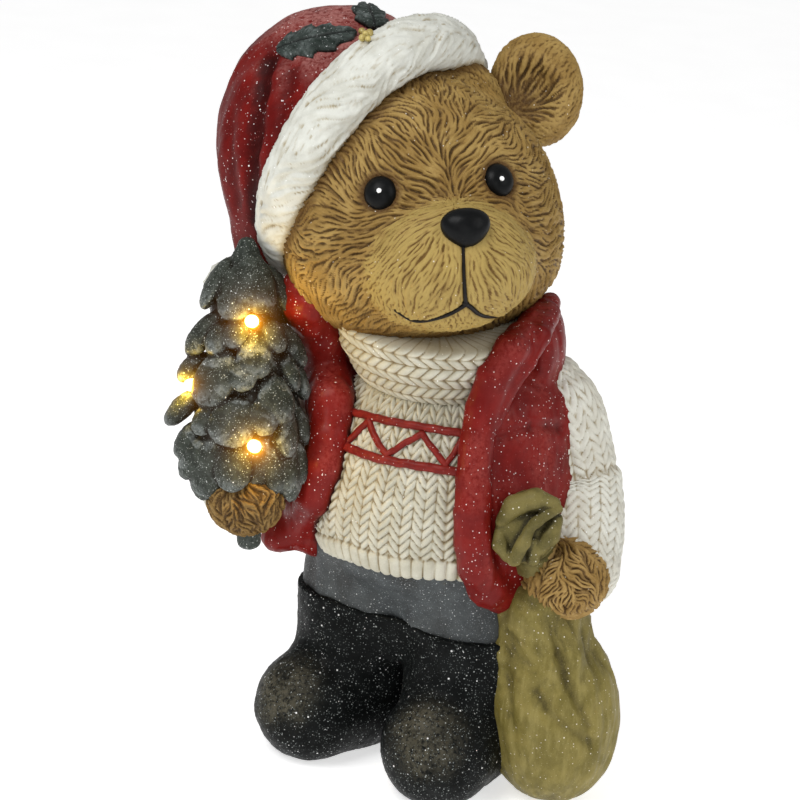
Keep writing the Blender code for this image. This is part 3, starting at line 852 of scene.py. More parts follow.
def make_ear():
    v, q = iso(f_ear, EAR_C - 66, EAR_C + 66, 1.65)
    N = unit(grad(f_ear, v))
    mid = P(502, 120, 4)

    def flow(p):
        d = p - mid
        d = d - (d @ B)[:, None] * B * 0.3
        w = (fbm(p, 20, 3.3, 2) - 0.5) * 1.6
        u = unit(d)
        return unit(u + np.cross(u, B) * w[:, None])

    s = carved(v, flow, N, 5.0, 10.0, 4.0, 6)
    t = carved(v, flow, N, 9.0, 14.0, 6.5, 5)
    bowl = 1 - step(0, 8, np.abs(sph(v, BOWL_C, 43)))
    rim = step(0.25, 0.75, 1 - np.abs(bowl * 2 - 1))
    amp = 0.75 + 0.5 * bowl
    hgt = amp * (1.0 * np.tanh(1.3 * s) + 0.7 * np.tanh(t))
    # painted shade: the bowl is darkened, more toward its base, and so is the fur next to the head ('edge'), besides
    # the wash in the strands
    cav = (step(0.1, -1.3, s) * 0.8 + step(0.0, -1.5, t) * 0.5) * (0.6 + 0.4 * bowl) + 0.18 * bowl
    deep = bowl * (1 - step(6, 46, ln(v - P(514, 108, 8))))
    put("ear", v + N * hgt[:, None], q, M_FUR, cav=np.clip(cav + 0.3 * deep, 0, 1), muz=0.0,
        edge=np.clip(np.maximum(deep * 0.8, 1 - step(0, 14, f_skull(v))), 0, 1))


# ------------------------------------------------------------------ hat
TAIL_A, TAIL_B = P(288, 165, 6), P(268, 248, -14)


def f_hat0(p):
    d = sph(p, HC + 88 * HAT_AX, 110)
    d = smin(d, ell(p, P(340, 122, -2), (119, 117, 104), C3), 40)
    d = smin(d, rcone(p, TAIL_A, TAIL_B, 64, 34), 36)
    return smax(d, 2.0 - (p - BAND_C) @ HAT_AX, 8)


FOLDS = [(line_on(f_hat0, [(268, 60), (258, 100), (252, 140), (250, 180), (254, 222)]), 12.0, 9.0),
         (line_on(f_hat0, [(292, 70), (284, 105), (278, 150), (268, 190)]), 4.0, 8.0),
         (line_on(f_hat0, [(232, 110), (230, 160), (236, 205)]), 3.5, 8.0)]


def f_hat(p):
    d = f_hat0(p)
    for pts, depth, wide in FOLDS:
        r, t = seg_dist(p, pts)
        d = d + depth * np.exp(-(r / wide) ** 2) * np.sin(math.pi * np.clip(t * 0.9 + 0.08, 0, 1)) ** 0.6
    return d


def make_hat():
    c = HC + 60 * HAT_AX - 10 * R
    v, q = star(f_hat, c, 72, 300, toward=B, power=1.3)
    N = unit(grad(f_hat, v))

    def flow(p):
        d = p - TAIL_B
        w = (fbm(p, 40, 8.3, 2) - 0.5) * 1.4
        n = unit(p - c)
        d = unit(d - (d * n).sum(1)[:, None] * n)
        return unit(d + np.cross(n, d) * w[:, None])

    s = strands(v, flow, 4.5, 16.0, 2.0, 6)
    t = strands(v, flow, 14.0, 30.0, 4.0, 5)
    hgt = 0.4 * s + 0.8 * t
    fold = np.zeros(len(v))
    for pts, depth, wide in FOLDS:
        fold = np.maximum(fold, depth / 12.0 * np.exp(-(seg_dist(v, pts)[0] / (wide * 1.1)) ** 2))
    # painted highlight: faces turned up and toward the front get the lighter rub colour, with a little strand-wise
    # rubbed paint, none in the folds
    up = N @ unit(np.array([0, 0, 1.0]) + 0.25 * B)
    rub_and_highlight = np.clip(step(0.45, 1.0, up) * 0.8 + 0.08 * t, 0, 1)
    # painted shade: the fold creases and the red just above the white band are darkened, besides the wash in the
    # strands
    cav = np.clip(0.9 * fold + step(0.2, -1.8, s) * 0.22 + (1 - step(0, 14, f_band(v))) * 0.7, 0, 1)
    put("hat", v + N * hgt[:, None], q, M_HAT, cav=cav, rub_and_highlight=rub_and_highlight * (1 - fold))


def make_band():
    na, nb = 420, 84
    a = np.linspace(0, 2 * math.pi, na, endpoint=False)
    a = a + 0.42 * np.sin(a - BAND_FRONT) * -1.0
    b = np.linspace(0, 2 * math.pi, nb, endpoint=False)
    aa, bb = [x.ravel() for x in np.meshgrid(a, b, indexing="ij")]
    rho = BAND_R + 27 * np.cos(bb)
    X, Y, Z = HAT_A[:, 0], HAT_A[:, 1], HAT_A[:, 2]
    rad = np.cos(aa)[:, None] * X + np.sin(aa)[:, None] * Y
    v = BAND_C + rad * rho[:, None] + Z * (29 * np.sin(bb))[:, None]
    N = unit(rad * (np.cos(bb) / 27)[:, None] + Z * (np.sin(bb) / 29)[:, None])
    along = -np.sin(aa)[:, None] * X + np.cos(aa)[:, None] * Y
    cross = -rad * np.sin(bb)[:, None] * 27 + Z * np.cos(bb)[:, None] * 29

    def flow(p):
        q = (p - BAND_C) @ HAT_A
        r = np.sqrt(q[:, 0] ** 2 + q[:, 1] ** 2)
        rd = (q[:, :1] * X + q[:, 1:2] * Y) / r[:, None]
        al = np.cross(Z, rd)
        cb, sb = (r - BAND_R) / 27, q[:, 2] / 29
        cr = unit(-rd * sb[:, None] + Z * cb[:, None])
        n = unit(rd * cb[:, None] / 27 + Z * sb[:, None] / 29)
        w = (fbm(p, 26, 1.3, 2) - 0.5) * 1.9
        u = R * 0.95 + U * 0.27
        u = unit(u - (n @ u)[:, None] * n + 0.15 * cr)
        return unit(u * np.cos(w)[:, None] + np.cross(n, u) * np.sin(w)[:, None])

    s = carved(v, flow, N, 4.8, 11.0, 12.0, 6)
    t = carved(v, flow, N, 10.0, 17.0, 15.0, 6)
    edge = np.abs(np.sin(bb * 1.0))
    rag = fbm(v, 4.0, 7.7, 2) - 0.5
    hgt = 0.95 * np.tanh(1.2 * s) + 1.15 * np.tanh(t) + rag * (0.6 + 1.6 * step(0.8, 1.0, edge)) + 2.0 * (fbm(v, 30, 3.0, 2) - 0.5)
    cav = step(-0.3, -1.9, s) * 0.45 + step(-0.5, -2.0, t) * 0.45 + 0.4 * step(0.5, 0.7, fbm(v, 9.0, 1.1, 2)) * step(-0.2, -1.4, s)
    # painted shade where the band meets the head
    cav = np.maximum(cav, (1 - step(0, 9, f_skull(v))) * 0.9)
    v2 = v + N * hgt[:, None]
    idx = np.arange(na * nb).reshape(na, nb)
    i2, j2 = np.roll(idx, -1, 0), np.roll(idx, -1, 1)
    q = np.stack([idx, i2, np.roll(i2, -1, 1), j2], -1).reshape(-1, 4)
    put("hat_band", v2, q, M_WHITE, cav=np.clip(cav, 0, 1))


def make_pompom():
    c = P(238, 290, 0)
    v, q = star(lambda p: sph(p, c, 33), c, 26, 50)
    N = unit(v - c)
    s = fbm(v, 7.5, 2.5, 3) - 0.5
    hgt = 9 * s + 3 * (vnoise(v, 3.2, 4.0) - 0.5)
    put("pompom", v + N * hgt[:, None], q, M_WHITE, cav=np.clip(0.4 - 3 * s, 0, 1) * 0.7)


# ------------------------------------------------------------------ holly
def make_leaf(name, line, half, lift, teeth):
    """flat carved leaf along a line on the hat, with pointed lobes and a midrib"""
    nu, nv = 56, 26
    mid, _ = path(line, 1.0)
    t = np.linspace(0, 1, nu)
    k = np.linspace(0, len(mid) - 1, nu)
    c = np.stack([np.interp(k, np.arange(len(mid)), mid[:, j]) for j in range(3)], 1)
    tan = unit(np.gradient(c, axis=0))
    nr = unit(grad(f_hat, c))
    sd = np.cross(nr, tan)
    w = half * np.sin(math.pi * np.clip(t, 0.0, 1)) ** 0.55 * (1 - 0.35 * t)
    saw = (t * teeth) % 1.0
    w = w * (0.74 + 0.34 * np.clip(saw * 1.25, 0, 1) * (saw < 0.85) + 0.1 * (saw >= 0.85))
    e = np.linspace(-1, 1, nv)
    top, bot, cv = [], [], []
    for i in range(nu):
        off = e * w[i]
        p = c[i] + sd[i] * off[:, None]
        for _ in range(3):
            g = grad(f_hat, p)
            p = p - g * f_hat(p)[:, None] / np.maximum((g * g).sum(1), 0.1)[:, None]
        n = unit(grad(f_hat, p))
        rib = np.exp(-(off / 1.6) ** 2)
        vein = 0.5 + 0.5 * np.cos((t[i] * 9 - np.abs(e) * 1.4) * 2 * math.pi)
        hgt = lift + 2.6 * np.sqrt(np.clip(1 - e ** 2, 0, 1)) - 1.9 * rib + 0.6 * vein * (1 - rib)
        hgt = np.where(np.abs(e) > 0.999, lift * 0.6, hgt)
        top.append(p + n * hgt[:, None])
        bot.append(p - n * 2.0)
        cv.append(np.maximum(rib * 0.9, 0.4 * (1 - vein)))
    v = np.concatenate([np.array(top).reshape(-1, 3), np.array(bot).reshape(-1, 3)])
    idx = np.arange(nu * nv).reshape(nu, nv)
    q = np.stack([idx[:-1, :-1], idx[:-1, 1:], idx[1:, 1:], idx[1:, :-1]], -1).reshape(-1, 4)
    o = nu * nv
    rim = np.concatenate([idx[0, :], idx[1:, -1], idx[-1, ::-1][1:], idx[::-1, 0][1:-1]])
    r2 = np.roll(rim, -1)
    wall = np.stack([rim, rim + o, r2 + o, r2], -1)
    cv = np.concatenate([np.array(cv).ravel(), np.ones(o)])
    put(name, v, np.concatenate([q, q[:, ::-1] + o, wall]), M_LEAF, cav=np.clip(cv, 0, 1),
        rub_and_highlight=np.clip(fbm(v, 8, 2.0, 2) * 1.3 - 0.3, 0, 1))


def make_holly():
    make_leaf("holly_leaf_1", line_on(f_hat, [(278, 52), (298, 44), (328, 38), (357, 34)]), 27.0, 2.4, 4)
    make_leaf("holly_leaf_2", line_on(f_hat, [(374, 29), (373, 22), (369, 14), (366, 6)]), 21.0, 2.4, 3)
    for i, (x, y, r) in enumerate(((362, 31.5, 3.6), (369.5, 33, 3.8), (362.5, 38, 3.7), (368, 39, 3.0), (365.5, 34.5, 3.2))):
        c = sight(x, y, lambda p: np.minimum(f_hat(p), f_band(p) - 3.0))
        c = c + B * (1.6 + (3.0 if i == 4 else 0))
        v, q = star(lambda p: sph(p, c, r), c, 9, r + 2)
        # painted shade: each berry is darkened on the half turned away from the camera
        put("berry_%d" % (i + 1), v, q, M_GOLD, cav=np.clip(0.5 - ((v - c) @ B) / r, 0, 1) * 0.5)


# ------------------------------------------------------------------ body
def f_torso(p):
    d = ell(p, (0, -6, 275), (134, 128, 116))
    return smin(d, ell(p, (-2, 4, 352), (112, 92, 84)), 60)


COLS = 11.0
PITCH_V = 9.6
ROUND = 128.0


def ring_out(f, ang, z, ax=(0.0, -5.0), far=220.0):
    d = np.stack([np.sin(ang), -np.cos(ang), np.zeros_like(ang)], 1)
    c = np.array([ax[0], ax[1], 0.0]) + np.stack([np.zeros_like(ang), np.zeros_like(ang), np.broadcast_to(z, ang.shape)], 1)
    t = np.full(len(ang), far)
    for _ in range(30):
        t = np.clip(t - 0.85 * f(c + d * t[:, None]), 1.0, far)
    return c + d * t[:, None], d


HEM = line_on(f_torso, [(300, 546), (315, 550), (350, 562), (396, 577), (430, 580), (454, 581), (480, 582)])
HEM_A = np.degrees(np.arctan2(HEM[:, 0], -(HEM[:, 1] + 5)))
HEM_Z = HEM[:, 2]


def make_sweater():
    ang = spread_angles(8, 66, 0.60, 7.0)
    deg = (np.degrees(ang) + 180) % 360 - 180
    hem = np.interp(deg, HEM_A, HEM_Z)
    top = 426.0
    rows = 176
    rib_h = 23.0
    cavs = []

    def ring(a, i):
        # painted shade: the two rows tucked under the hem get full and 0.6 wash
        if i == 0:
            p, d = ring_out(f_torso, a, hem + 2)
            cavs.append(np.full(len(a), 1.0))
            return p - d * 14
        if i == 1:
            p, d = ring_out(f_torso, a, hem + 0.4)
            cavs.append(np.full(len(a), 0.6))
            return p - d * 2
        z = hem + (top - hem) * ((i - 2) / (rows - 3))
        p, d = ring_out(f_torso, a, z)
        N = unit(grad(f_torso, p))
        u = a * ROUND + (z - 330) * 0.02 * 1.0
        up = z - hem
        warp = 2.4 * (fbm(p, 22, 1.7, 2) - 0.5)
        k = knit(u + warp, -z + 1.8 * (fbm(p, 17, 4.1, 2) - 0.5), COLS, PITCH_V)
        x = (u / 11.7) % 1.0 - 0.5
        rib = np.clip(1 - np.abs(2 * x) ** 2.4, 0, 1) ** 0.5
        inrib = 1 - step(rib_h - 2, rib_h + 2, up)
        pat = k * (1 - inrib) + rib * inrib
        line = np.exp(-((up - rib_h) / 1.8) ** 2)
        h = 4.6 * pat - 2.0 * line - 2.6 + 1.0 * (fbm(p, 5, 8.8, 2) - 0.5)
        h = h + 1.5 * inrib - 3.0 * (1 - step(0, 5, up))
        # painted shade: the knit next to the vest edges is darkened
        under = 1 - step(0, 12, np.abs(f_vest(p + N * 3.0)))
        cavs.append(np.clip(1.15 - 1.5 * pat + 0.5 * line + 0.35 * (fbm(p, 30, 6.6, 2) - 0.5) + 0.45 * under, 0, 1))
        return p + N * h[:, None]

    v, f = drum(ang, rows, ring)
    put("sweater", v, f, M_KNIT, cav=np.concatenate(cavs + [np.ones(2)]))


def make_rollneck():
    M = axes((0.03, -0.16, 1))
    c = np.array([-7, -16, 440.0])
    ang = spread_angles(10, 104, 0.72, 5.0)
    rows = 66
    zz = np.linspace(-35, 35, rows)
    cavs = []

    def ring(a, i):
        z = zz[i]
        e = max(0.0, abs(z) - 30) / 5.0
        r = 98 + 0.40 * z - 8 * (1 - math.sqrt(max(0.0, 1 - min(e, 1) ** 2))) + 2.0 * math.cos(z / 35 * 3.0)
        d = np.stack([np.sin(a), -np.cos(a) / 1.06, np.zeros_like(a)], 1)
        p0 = c + (d * r + np.array([0, 0, z])) @ M.T
        N = unit(d) @ M.T
        arc = a * 98.0
        warp = 1.6 * (fbm(p0, 20, 2.7, 2) - 0.5)
        k = knit(z + 35 + warp, arc + warp, 12.4, 11.6, 0.95)
        ripple = 0.5 - 0.5 * np.cos((z + 35) / 24.8 * 2 * math.pi)
        h = 4.4 * k + 2.6 * ripple - 3.2
        cavs.append(np.clip(1.2 - 1.5 * k, 0, 1) * (1.0 if abs(z) < 33 else 0.6))
        return p0 + N * h[:, None]

    v, f = drum(ang, rows, ring)
    put("roll_neck", v, f, M_KNIT, cav=np.concatenate(cavs + [np.ones(2)]))


def f_knitted(p):
    return f_torso(p) - 2.0


def make_cords():
    lines = {
        "cord_upper": ([(332, 405), (349, 411), (371, 417), (392, 422), (421, 427), (445, 431), (466, 434)], 3.9),
        "cord_lower": ([(332, 439), (344, 445), (358, 452), (379, 459), (401, 463), (425, 467), (458, 472)], 4.3),
        "cord_zigzag": ([(346, 444), (369, 421)], 3.1), "cord_zigzag_2": ([(369, 421), (376, 440), (387, 455)], 3.2),
        "cord_zigzag_3": ([(387, 455), (404, 444), (422, 434)], 3.0), "cord_zigzag_4": ([(422, 434), (434, 450), (446, 465)], 3.0),
        "cord_zigzag_5": ([(446, 465), (456, 450), (463, 438)], 2.8),
    }
    for nm, (pts, r) in lines.items():
        q = line_on(f_knitted, pts, 0.8)
        v, f, N, A, L = tube(np.concatenate([q, np.full((len(q), 1), r)], 1), 1.6, 16)
        tw = 0.5 + 0.5 * np.sin(L / 3.2 + A)
        v = v + N * (0.5 * tw + 0.9 * (fbm(v, 5, 2.1, 2) - 0.5))[:, None]
        put(nm, v, f, M_CORD, cav=np.clip(0.25 * (1 - tw), 0, 1))


# ------------------------------------------------------------------ vest
def f_vest_body(p):
    d = f_torso(p) - 8 - 10 * step(345, 410, p[..., 2])
    return smin(d, ell(p, (-16, 2, 236), (152, 136, 60)), 30)


def around(p):
    return np.degrees(np.arctan2(p[..., 0], -(p[..., 1] + 5)))


def f_guide(p):
    """vest body with the room the roll neck takes, used to place the collar and front rolls"""
    return smin(f_torso(p) - 14, f_neck(p) - 6, 70)


EDGE_R = line_on(f_vest_body, [(508, 326), (503, 333), (486, 364), (468, 406), (462, 429), (458, 455), (455, 499), (455, 544), (458, 575), (466, 594)])
EDGE_L = line_on(f_vest_body, [(318, 318), (327, 330), (338, 365), (344, 400), (341, 435), (335, 462), (326, 490), (313, 520), (299, 545)])
BOT = line_on(f_vest_body, [(250, 546), (270, 560), (292, 558), (316, 547), (482, 617), (499, 625), (516, 627)])


def order(z, a):
    i = np.argsort(z)
    return z[i], a[i]


ZR, AR = order(EDGE_R[:, 2], around(EDGE_R))
ZL, AL = order(EDGE_L[:, 2], around(EDGE_L))
BZ = BOT[:, 2]
BA = around(BOT)

ROLL_R = line_on(f_guide, [(550, 300), (533, 321), (513, 347), (496, 378), (485, 408), (477, 445), (473.5, 480), (473, 512), (474, 545), (478, 570), (489, 590), (508, 600)], -4)
ROLL_L = line_on(f_guide, [(290, 286), (303, 306), (316, 332), (323, 362), (327, 400), (325, 436), (319, 466), (309, 495), (294, 520), (274, 539)], -6)
RIDGE = line_on(f_guide, [(551, 312), (541, 335), (527, 360), (511, 384), (501, 408), (495, 426)], 0.0)
SIDE_L = ROLL_L[1:5] - 13 * R - 8 * B
SEAM = line_on(f_vest_body, [(499, 437), (518, 431), (538, 426), (563, 428)], 0)


def f_vest(p):
    d = f_vest_body(p)
    ph, z = around(p), p[..., 2]
    er, el_ = np.interp(z, ZR, AR), np.interp(z, ZL, AL)
    rr = np.sqrt(p[..., 0] ** 2 + (p[..., 1] + 5) ** 2)
    op = np.minimum(er + 6 - ph, ph - el_ + 6) * math.pi / 180 * rr
    d = smax(d, op, 14)
    d = smin(d, chain(p, RIDGE, [10, 10.5, 9.5, 8.5, 7, 5], 3), 9)
    d = smin(d, chain(p, ROLL_R, [11, 14.5, 16.5, 17, 17, 16.5, 17, 17.5, 18, 18.5, 19, 18.5], 3), 5)
    d = smin(d, chain(p, ROLL_L, [15, 19, 22, 22.5, 22, 21.5, 20.5, 20, 20, 19], 3), 9)
    back = step(100, 165, np.abs(ph))
    d = smin(d, chain(p, SIDE_L, [15, 16, 16, 15], 3), 12)
    low = np.interp(ph, np.sort(BA), BZ[np.argsort(BA)]) * (1 - back) + BZ.mean() * back
    d = smax(d, low - z, 20)
    r, t = seg_dist(p.reshape(-1, 3), SEAM)
    d = d + (8.0 * np.exp(-(r / 4.2) ** 2)).reshape(d.shape)
    return d


def f_collar(p):
    d = torus(p, (-2, 4, 434), axes((0.0, -0.16, 1)), 97, 13, 34)
    ph = around(p)
    rr = np.sqrt(p[..., 0] ** 2 + p[..., 1] ** 2)
    return smax(d, np.minimum(84 - ph, ph + 86) * math.pi / 180 * rr, 12)


def make_vest():
    def f(p):
        return smin(f_vest(p), f_collar(p), 8)

    v, q = iso(f, (-180, -170, 170), (170, 150, 496), 3.2, relax=1)
    N = unit(grad(f, v))

    def flow(p):
        n = unit(p * np.array([1, 1, 0.0]) + np.array([0, 5, 0.0]))
        w = (fbm(p, 50, 8.3, 2) - 0.5) * 1.5
        up = np.array([0, 0, 1.0]) * np.ones((len(p), 1))
        return unit(up + np.cross(n, up) * w[:, None])

    s = strands(v, flow, 5.0, 18.0, 2.0, 6)
    t = strands(v, flow, 16.0, 30.0, 4.0, 4)
    rs, along = seg_dist(v, SEAM)
    side = (v - SEAM[1]) @ unit(SEAM[-1] - SEAM[0])
    pucker = np.exp(-(rs / 20.0) ** 2) * (vnoise(np.stack([side, side * 0, side * 0], 1), 6.5, 3.3) - 0.5)
    hgt = 0.4 * s + 0.4 * t + 4.5 * pucker
    cav = np.clip(step(0.3, -1.8, s) * 0.2 + 0.9 * np.exp(-(rs / 3.5) ** 2), 0, 1)
    open_d = np.abs(f_vest_body(v))
    # painted highlight: faces turned toward the front and up get the lighter rub colour, with a little strand-wise
    # rubbed paint
    out = step(0.3, 1.0, N @ unit(B + np.array([0, 0, 0.8])))
    rub_and_highlight = np.clip(out * 0.7 + 0.25 * t, 0, 1)
    # painted shade: the inner faces close to the sweater are darkened
    inner = 1 - step(1.0, 9.0, f_torso(v))
    cav = np.clip(cav + 0.8 * inner, 0, 1)
    put("vest", v + N * hgt[:, None], q, M_RED, cav=cav, rub_and_highlight=rub_and_highlight)


# ------------------------------------------------------------------ sleeves and paws
def sleeve(name, spine, gap, n_a, side, spins=0.0, folds=()):
    v, f, N, A, L = tube(spine, gap, n_a, side)
    r0 = float(np.mean([s[3] for s in spine]))
    cols = 2 * round(2 * math.pi * r0 / COLS / 2)
    u = A / (2 * math.pi) * cols * COLS
    w = 2.2 * (fbm(v, 24, 3.3, 2) - 0.5)
    k = knit(u + w, L + 1.6 * w, COLS, 11.6, 1.25)
    h = 3.7 * k - 2.0 + 1.0 * (fbm(v, 5, 8.8, 2) - 0.5) + 4.0 * (fbm(v, 44, 5.0, 2) - 0.5)
    cav = np.clip(1.1 - 1.5 * k + 0.2 * (fbm(v, 30, 6.6, 2) - 0.5), 0, 1) * 0.85
    for at, depth, wide in folds:
        g = np.exp(-((L - at) / wide) ** 2)
        h = h - depth * g + 0.6 * depth * np.exp(-((L - at - 2.2 * wide) / (1.6 * wide)) ** 2)
        cav = np.clip(cav + 0.35 * g, 0, 1)
    put(name, v + N * h[:, None], f, M_SLEEVE, cav=cav)


def paw_flow(c, M):
    def flow(p):
        q = (p - c) @ M
        n = unit(q)
        w = (fbm(p, 15, 6.3, 2) - 0.5) * 4.4
        v = np.stack([0.35 + 0.02 * q[:, 0], -0.9 + 0.01 * q[:, 1], 0.2 + 0 * q[:, 0]], 1)
        v = unit(v - (v * n).sum(1)[:, None] * n)
        t = np.cross(n, v)
        return (np.cos(w)[:, None] * v + np.sin(w)[:, None] * t) @ M.T
    return flow


def make_paw(name, c, r, n=60, shade=0.0):
    v, q = star(lambda p: ell(p, c, r, C3), c, n, 60, toward=B, power=1.2)
    N = unit(v - c)
    fl = paw_flow(c + 10 * U, C3)
    s = carved(v, fl, N, 3.9, 8.0, 3.0, 6)
    t = carved(v, fl, N, 9.0, 13.0, 7.0, 5)
    hgt = 1.3 * np.tanh(1.5 * s) + 1.1 * np.tanh(1.2 * t)
    cav = step(0.1, -1.3, s) * 0.8 + step(-0.1, -1.5, t) * 0.5
    put(name, v + N * hgt[:, None], q, M_PAW, cav=np.clip(cav + shade, 0, 1))


def make_arms():
    sleeve("sleeve_left", [(84, 42, 400, 36), (97, 43, 380, 46), (109, 46, 332, 49), (122, 43, 292, 52), (142, 14, 260, 50), (159, -14, 238, 44)],
           1.75, 168, (0, 1, 0), folds=((92, 2.6, 4.5),))
    e, w = P(272, 440, -62), P(238, 490, 0)
    sleeve("sleeve_right", [(-92, 34, 396, 36), (-100, 36, 374, 46), tuple(e) + (48,), tuple(w) + (38,)], 3.2, 84, (0, 1, 0), folds=((70, 4.0, 5.0),))
    make_paw("paw_left", P(565, 578, 62), (42, 40, 40))
    make_paw("paw_right", P(246, 500, 60), (37, 34, 36), 42, 0.38)


# ------------------------------------------------------------------ trousers and boots
def f_legs(p):
    d = rcone(p, (-63, -17, 138), (-52, -8, 215), 72, 82)
    d = smin(d, rcone(p, (65, -22, 138), (46, -10, 215), 72, 82), 20)
    return smin(d, ell(p, (0, -4, 232), (124, 118, 52)), 20)


def f_boot(p, c, ang, hgt):
    a = math.radians(ang)
    fwd = np.array([math.sin(a), -math.cos(a), 0])
    rt = np.array([math.cos(a), math.sin(a), 0])
    M = np.stack([rt, -fwd, [0, 0, 1]], 1)
    c = np.array(c, float)
    z = np.array([0, 0, 1.0])
    d = ell(p, c + fwd * 4 + z * 50, (59, 60, 58), M)
    d = smin(d, ell(p, c - fwd * 60 + z * 42, (50, 56, 52), M), 30)
    d = smin(d, rcone(p, c - fwd * 56 + z * 60, c - fwd * 66 + z * hgt, 62, 75), 24)
    d = smax(d, p[..., 2] - hgt + 0.10 * (p[..., 1] - c[1]), 15)
    return smax(d, -p[..., 2], 4)


BOOTS = (((-80, -84, 0), -16, 200), ((70, -92, 0), 4, 200))
CUT = line_on(f_legs, [(304, 583), (330, 597), (369, 613), (397, 616), (421, 629), (445, 638), (492, 643)])
CUT = CUT[np.argsort(CUT[:, 0])]


def f_boots(p):
    d = smin(f_boot(p, *BOOTS[0]), f_boot(p, *BOOTS[1]), 5)
    d = smin(d, ell(p, (-2, -56, 156), (42, 26, 44)), 12)
    w = step(-60, 110, p[..., 1])
    top = np.interp(p[..., 0], CUT[:, 0], CUT[:, 2]) * (1 - w) + CUT[:, 2].mean() * w
    return smax(smax(d, (p[..., 2] - top) * 0.9, 3), -p[..., 2], 3)


def make_legs():
    def f(p):
        return smax(f_legs(p), 124 - p[..., 2], 6)

    v, q = iso(f, (-150, -130, 120), (150, 130, 286), 4.4, relax=1)
    N = unit(grad(f, v))
    t = fbm(v * np.array([1, 1, 0.45]), 26, 3.0, 3) - 0.5
    hgt = 6.0 * t
    cav = np.clip(0.35 - 2.0 * t, 0, 1) * 0.8
    put("trousers", v + N * hgt[:, None], q, M_GREY, cav=cav)
    v, q = iso(f_boots, (-180, -175, -3), (170, 90, 214), 3.3, relax=1)
    N = unit(grad(f_boots, v))
    t = fbm(v, 22, 2.0, 3) - 0.5
    hgt = (3.0 * t + 0.9 * (vnoise(v, 3.2, 1.0) - 0.5)) * step(0, 4, v[:, 2])
    # painted highlight: a lighter patch on the top front of each toe cap
    rub_and_highlight = 0.0
    for c, ang, _ in BOOTS:
        a = math.radians(ang)
        toe = np.array(c, float) + np.array([math.sin(a), -math.cos(a), 0]) * 42 + np.array([0, 0, 72])
        rub_and_highlight = np.maximum(rub_and_highlight, (1 - step(6, 62, ln(v - toe))) * (0.7 + 0.9 * (fbm(v, 16, 5.0, 2) - 0.5)))
    put("boots", v + N * hgt[:, None], q, M_BOOT, cav=np.clip(0.3 - 2 * t, 0, 1) * 0.5, rub_and_highlight=np.clip(rub_and_highlight, 0, 1))


# ------------------------------------------------------------------ sack
def f_bag(p):
    d = ell(p, (158, -22, 74), (66, 62, 80))
    d = smin(d, rcone(p, (154, -30, 120), P(539, 614, 46), 57, 42), 30)
    return smax(d, -p[..., 2], 4)


BAG_FOLDS = [(line_on(f_bag, [(560, 655), (567, 680), (577, 702), (590, 728)]), 5.0, 5.5),
             (line_on(f_bag, [(536, 694), (550, 714), (568, 730), (592, 744)]), 4.5, 6.5),
             (line_on(f_bag, [(511, 640), (507, 680), (512, 730)]), 3.0, 8.0),
             (line_on(f_bag, [(585, 636), (597, 676), (606, 712)]), 2.5, 6.0)]


def make_bag():
    c = np.array([156, -24, 80.0])
    v, q = star(f_bag, c, 50, 200, toward=B, power=1.3)
    N = unit(grad(f_bag, v))

    def flow(p):
        n = unit(p - c)
        up = unit(P(548, 606, 30) - p)
        w = (fbm(p, 50, 1.3, 2) - 0.5) * 1.2
        u = unit(up - (up * n).sum(1)[:, None] * n)
        return unit(u + np.cross(n, u) * w[:, None])

    s = strands(v, flow, 4.2, 18.0, 6.0, 6)
    t = strands(v, flow, 13.0, 30.0, 8.0, 5)
    fold = np.zeros(len(v))
    for pts, dep, wd in BAG_FOLDS:
        fold = fold + dep * np.exp(-(seg_dist(v, pts)[0] / wd) ** 2)
    neck = step(110, 190, v[:, 2])
    hgt = (0.35 * s + (0.7 + 1.6 * neck) * t - fold) * step(0, 6, v[:, 2])
    # painted shade in the fold creases and near the floor; the upper part toward the gathered neck is darker too,
    # besides the wash in the strands
    cav = np.clip(step(0.2, -1.8, s) * 0.22 + step(-0.2, -1.8, t) * 0.16 + fold * 0.09 + (1 - step(2, 40, v[:, 2])) * 0.3 + 0.25 * neck, 0, 1)
    put("sack", v + N * hgt[:, None], q, M_BAG, cav=cav)


RUF_C = P(529, 527, 120)


RUF = ((((501, 522, 110), (514, 506, 116), (535, 500, 117), (553, 504, 112)), (6, 10, 11, 7.5)),
       (((559, 509, 116), (547, 514, 121), (536, 522, 123), (528, 531, 121)), (4, 5, 5.5, 4.5)),
       (((556, 520, 110), (550, 536, 112), (539, 548, 112)), (7, 9, 7)),
       (((531, 527, 121), (524, 542, 122), (514, 559, 114)), (4.5, 6.5, 7.5)),
       (((499, 532, 110), (500, 545, 112), (507, 556, 111)), (5, 7, 6)),
       (((533, 543, 116), (533, 559, 111)), (5, 6.5)))
RUF = [([P(*q) for q in pts], rad) for pts, rad in RUF]


def f_ruffle(p):
    d = ell(p, RUF_C - 14 * B, (31, 36, 10), axes(B, U + 0.35 * R))
    d = smin(d, rcone(p, RUF_C - 22 * B, P(540, 572, 58), 16, 26), 8)
    for pts, rad in RUF:
        d = smin(d, chain(p, pts, rad, 3), 2.2)
    return d


def make_ruffle():
    """gathered mouth of the sack: a folded rosette on a short stem"""
    v, q = iso(f_ruffle, RUF_C - 26 * B - 50, RUF_C - 26 * B + 50, 1.7, relax=1)
    N = unit(grad(f_ruffle, v))
    ao = np.clip(f_ruffle(v + N * 6) / 6, 0, 1)
    hgt = 1.2 * (fbm(v, 7, 2.0, 2) - 0.5)
    # painted shade: the recesses of the folds are darkened from the occlusion 'ao', with some random tone
    put("sack_ruffle", v + N * hgt[:, None], q, M_MOUTH, cav=np.clip(1.35 - 1.3 * ao + 0.5 * (fbm(v, 9, 1.0, 2) - 0.5), 0, 1))


